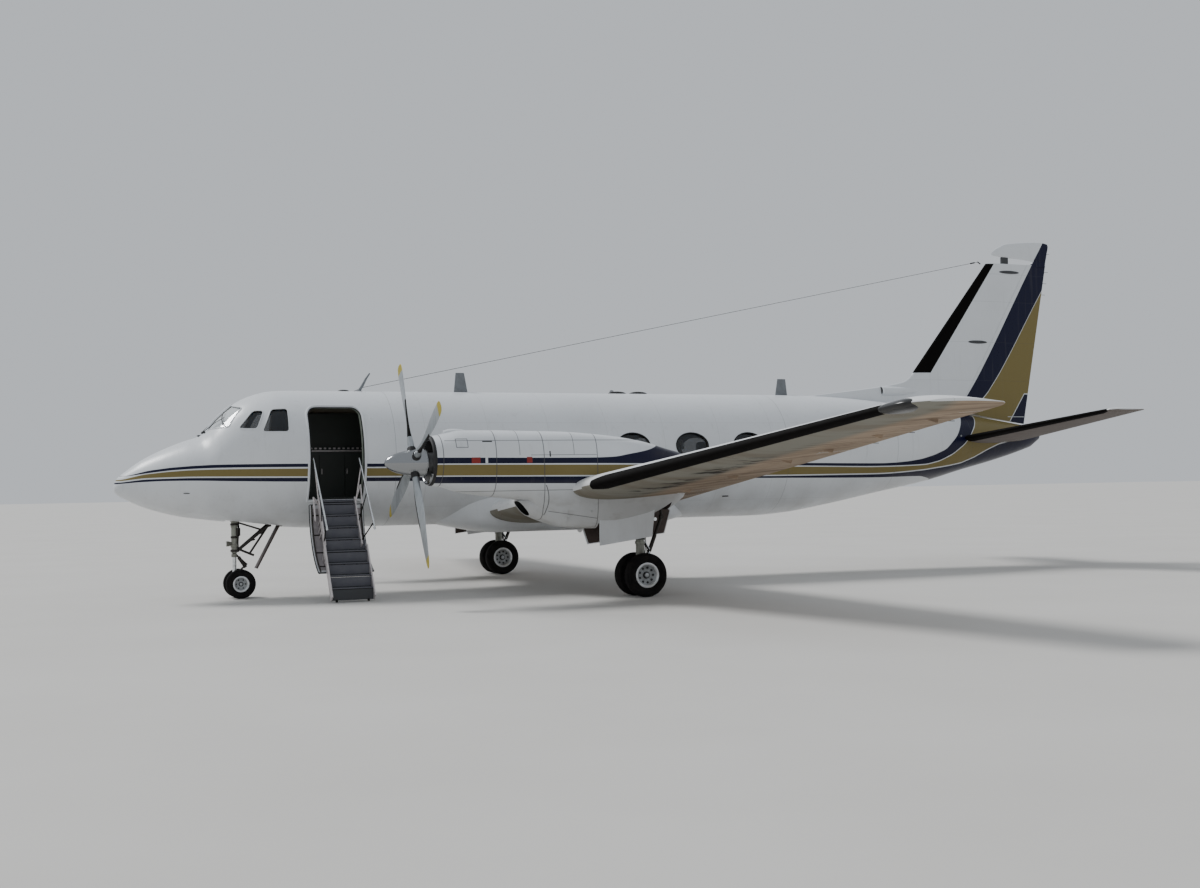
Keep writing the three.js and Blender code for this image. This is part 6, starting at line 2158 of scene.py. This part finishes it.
def seat(name, x, y, half, top, frame_shape):
    """One seat: a bottom, a back and a head cushion, and a tray, armrests and legs below them."""
    lean_back = math.pi / 2 - math.radians(11)
    tall = (top - 2.02) / 2
    cushions = (
        ("bottom", (x - 0.03, y, 1.985), (0.19, half - 0.02, 0.062), 0, 0.3, 0, "leather", 0.7),
        ("back", (x + 0.17, y, 2.02 + tall), (tall, half - 0.02, 0.06), lean_back, 0.25, 3, "leather", 0.7),
        ("head", (x + 0.225, y, top - 0.1), (0.1, half - 0.06, 0.035), lean_back, 0.2, 0, "linen", 0.6),
    )
    for part, centre, size, lean, crown, channels, look, fill in cushions:
        shape = Shape().cushion(centre, size, lean, crown, channels)
        piece = make(f"{name}_{part}_cushion", shape, look, sharp=60)
    frame_shape.box((x - 0.2, y - half + 0.03, 1.9), (x + 0.15, y + half - 0.03, 1.925), 1, 0.01)
    for sign in (1, -1):
        arm_y, leg_y = y + sign * (half - 0.005), y + sign * 0.12
        frame_shape.box((x - 0.2, arm_y - 0.022, 2.13), (x + 0.14, arm_y + 0.022, 2.165), 1, 0.012)
        rods(frame_shape, (
            ((x + 0.08, arm_y, 1.92), (x + 0.08, arm_y, 2.14), 0.012, 10),
            ((x - 0.11, leg_y, FLOOR + 0.01), (x - 0.13, leg_y, 1.9), 0.014, 10),
            ((x + 0.11, leg_y, FLOOR + 0.01), (x + 0.09, leg_y, 1.9), 0.014, 10),
        ))


# Small outside fittings

def leaf(shape, fronts, rears, heights):
    """An upright blade aerial, from the stations of its edges at the bottom and the top."""
    rings = []
    for t in spread(0, 1, 7):
        foil = level_foil(mix(heights, t), mix(fronts, t), mix(rears, t), 0.08)
        rings.append(upright(foil.whole(10)))
    shape.loft(rings)


def aerials():
    """Upright aerials, the wire from its mast to the fin, and flat ones on the roof."""
    shape = Shape()
    leaf(shape, (5.88, 5.92), (6.146, 6.08), (3.54, 3.912))
    leaf(shape, (12.54, 12.6), (12.82, 12.78), (3.53, 3.88))
    shape.turned([(0, 0), (0.08, 0), (0.07, 0.015), (0.04, 0.03), (0, 0.03)], (4.13, 0, 3.545), UP, 24)
    mast = [(4.128, 3.55, 0.03), (4.2, 3.66, 0.026), (4.27, 3.79, 0.02), (4.335, 3.882, 0.014)]
    for (x, z, size), (x2, z2, size2) in zip(mast, mast[1:]):
        shape.rod((x, 0, z), (x2, 0, z2), size, 14, 0, 0.001, size2)
    make("blade_aerials", shape, "aerial")
    low = Shape()
    for front, rear, high in ((3.75, 3.97, 0.035), (8.92, 9.3, 0.05), (9.36, 9.74, 0.05)):
        low.loft([oval(x, 3.55 + high * size, 3.5, 0.02 + 0.07 * size, 20)
                  for x, size in swelling(front, rear, 12)])
    make("low_aerials", low, "black")
    wire = Shape()
    start, end = Vector((4.223, 0, 3.631)), Vector((17.564, 0, 6.451))
    path = [Vector((4.05, 0, 3.56))] + [start.lerp(end, t) for t in spread(0, 1, 30)]
    wire.tube(path, 0.004, 6)
    wire.rod(start.lerp(end, 0.985), start.lerp(end, 0.993), 0.014, 12)
    wire.rod((17.55, 0, 6.452), (17.62, 0, 6.41), 0.012, 10)
    make("wire_aerial", wire, "hose")


def small_fittings():
    """Static wicks, small lamps, vents and marks on the body, and beacons."""
    shape = Shape()
    for z in WICKS["fin"]:
        trail = fin_chord(z)[1]
        shape.rod((trail - 0.01, 0, z), (trail + 0.1, 0, z), 0.004, 8, 1)
    shape.rod((19.345, 0, 6.7), (19.463, 0, 6.7), 0.004, 8, 1)
    make("rudder_wicks", shape, "white black", "rudder")
    wicks = Shape()
    for span in WICKS["aileron"]:
        foil = Foil(WING, span)
        trail = foil.lead + foil.chord
        wicks.rod((trail - 0.01, span, 0), (trail + 0.1, span, 0), 0.004, 8)
    sided("wing_wicks", raised(WING, wicks), "black", "aileron")
    marks = Shape()
    for sign in (1, -1):
        y = skin_y(4.114, 3.023)
        marks.rod((4.114, sign * (y - 0.004), 3.023), (4.114, sign * (y + 0.006), 3.023), 0.02, 28)
        y = skin_y(1.13, 1.802)
        marks.box((1.05, sign * y - 0.006, 1.796), (1.21, sign * y + 0.006, 1.808), 1, 0.002)
        y = skin_y(10.912, 1.571)
        marks.box((10.85, sign * y - 0.008, 1.558), (10.98, sign * y + 0.008, 1.584), 1, 0.004)
        y = skin_y(16.527, 2.704)
        marks.rod((16.527, sign * (y - 0.01), 2.704), (16.527, sign * (y + 0.008), 2.704), 0.02, 20, 2)
    make("body_marks", marks, "livery black steel")
    lamp = Shape()
    lamp.turned([(0, 0), (0.05, 0), (0.05, 0.03), (0.03, 0.07), (0, 0.08)], (9.0, 0, 3.55), UP, 24)
    lamp.turned([(0, 0), (0.05, 0), (0.05, 0.03), (0.03, 0.06), (0, 0.07)], (8.3, 0, 1.005), (0, 0, -1), 24)
    make("beacons", lamp, "glass")


# Stage

def stage():
    """A pale floor, an even sky and one soft sun."""
    floor = Shape()
    reach = FLOOR_REACH
    corners = [(u * reach, v * reach, 0) for u, v in ((-1, -1), (1, -1), (1, 1), (-1, 1))]
    floor.add(corners, [(0, 1, 2, 3)])
    loose("pale_floor", floor, "floor")

    world = bpy.data.worlds.new("studio")
    bpy.context.scene.world = world
    world.use_nodes = True
    sky = world.node_tree.nodes["Background"]
    sky.inputs["Color"].default_value = rgb(SKY["colour"])
    sky.inputs["Strength"].default_value = SKY["strength"]

    sun = bpy.data.lights.new("soft_key", "SUN")
    sun.energy = SUN["energy"]
    sun.angle = SUN["angle"]
    lamp = bpy.data.objects.new("soft_key", sun)
    lamp.rotation_euler = Vector(SUN["toward"]).to_track_quat("-Z", "Y").to_euler()
    bpy.context.scene.collection.objects.link(lamp)


def camera():
    """The photo's view."""
    yaw, pitch, roll = (math.radians(CAMERA[key]) for key in ("yaw", "pitch", "roll"))
    forward = Vector((math.sin(yaw) * math.cos(pitch), math.cos(yaw) * math.cos(pitch), math.sin(pitch)))
    right = forward.cross(Vector((0, 0, 1))).normalized()
    up = right.cross(forward)
    across = right * math.cos(roll) + up * math.sin(roll)
    above = up * math.cos(roll) - right * math.sin(roll)
    lens = bpy.data.cameras.new("camera")
    lens.lens, lens.sensor_width, lens.sensor_fit = CAMERA["lens"], CAMERA["sensor"], "HORIZONTAL"
    lens.clip_end = CAMERA["reach"]
    view = bpy.data.objects.new("camera", lens)
    turn = Matrix((across, above, -forward)).transposed().to_4x4()
    view.matrix_world = Matrix.Translation(CAMERA["at"]) @ turn
    bpy.context.scene.collection.objects.link(view)
    bpy.context.scene.camera = view


camera()
stage()
fuselage()
fuselage_frames()
glazing()
wipers()
fairing()
wings()
tip_lenses()
fin_and_rudder()
nacelles()
propellers()
wheels()
main_gear()
nose_gear()
airstair()
interior()
aerials()
small_fittings()
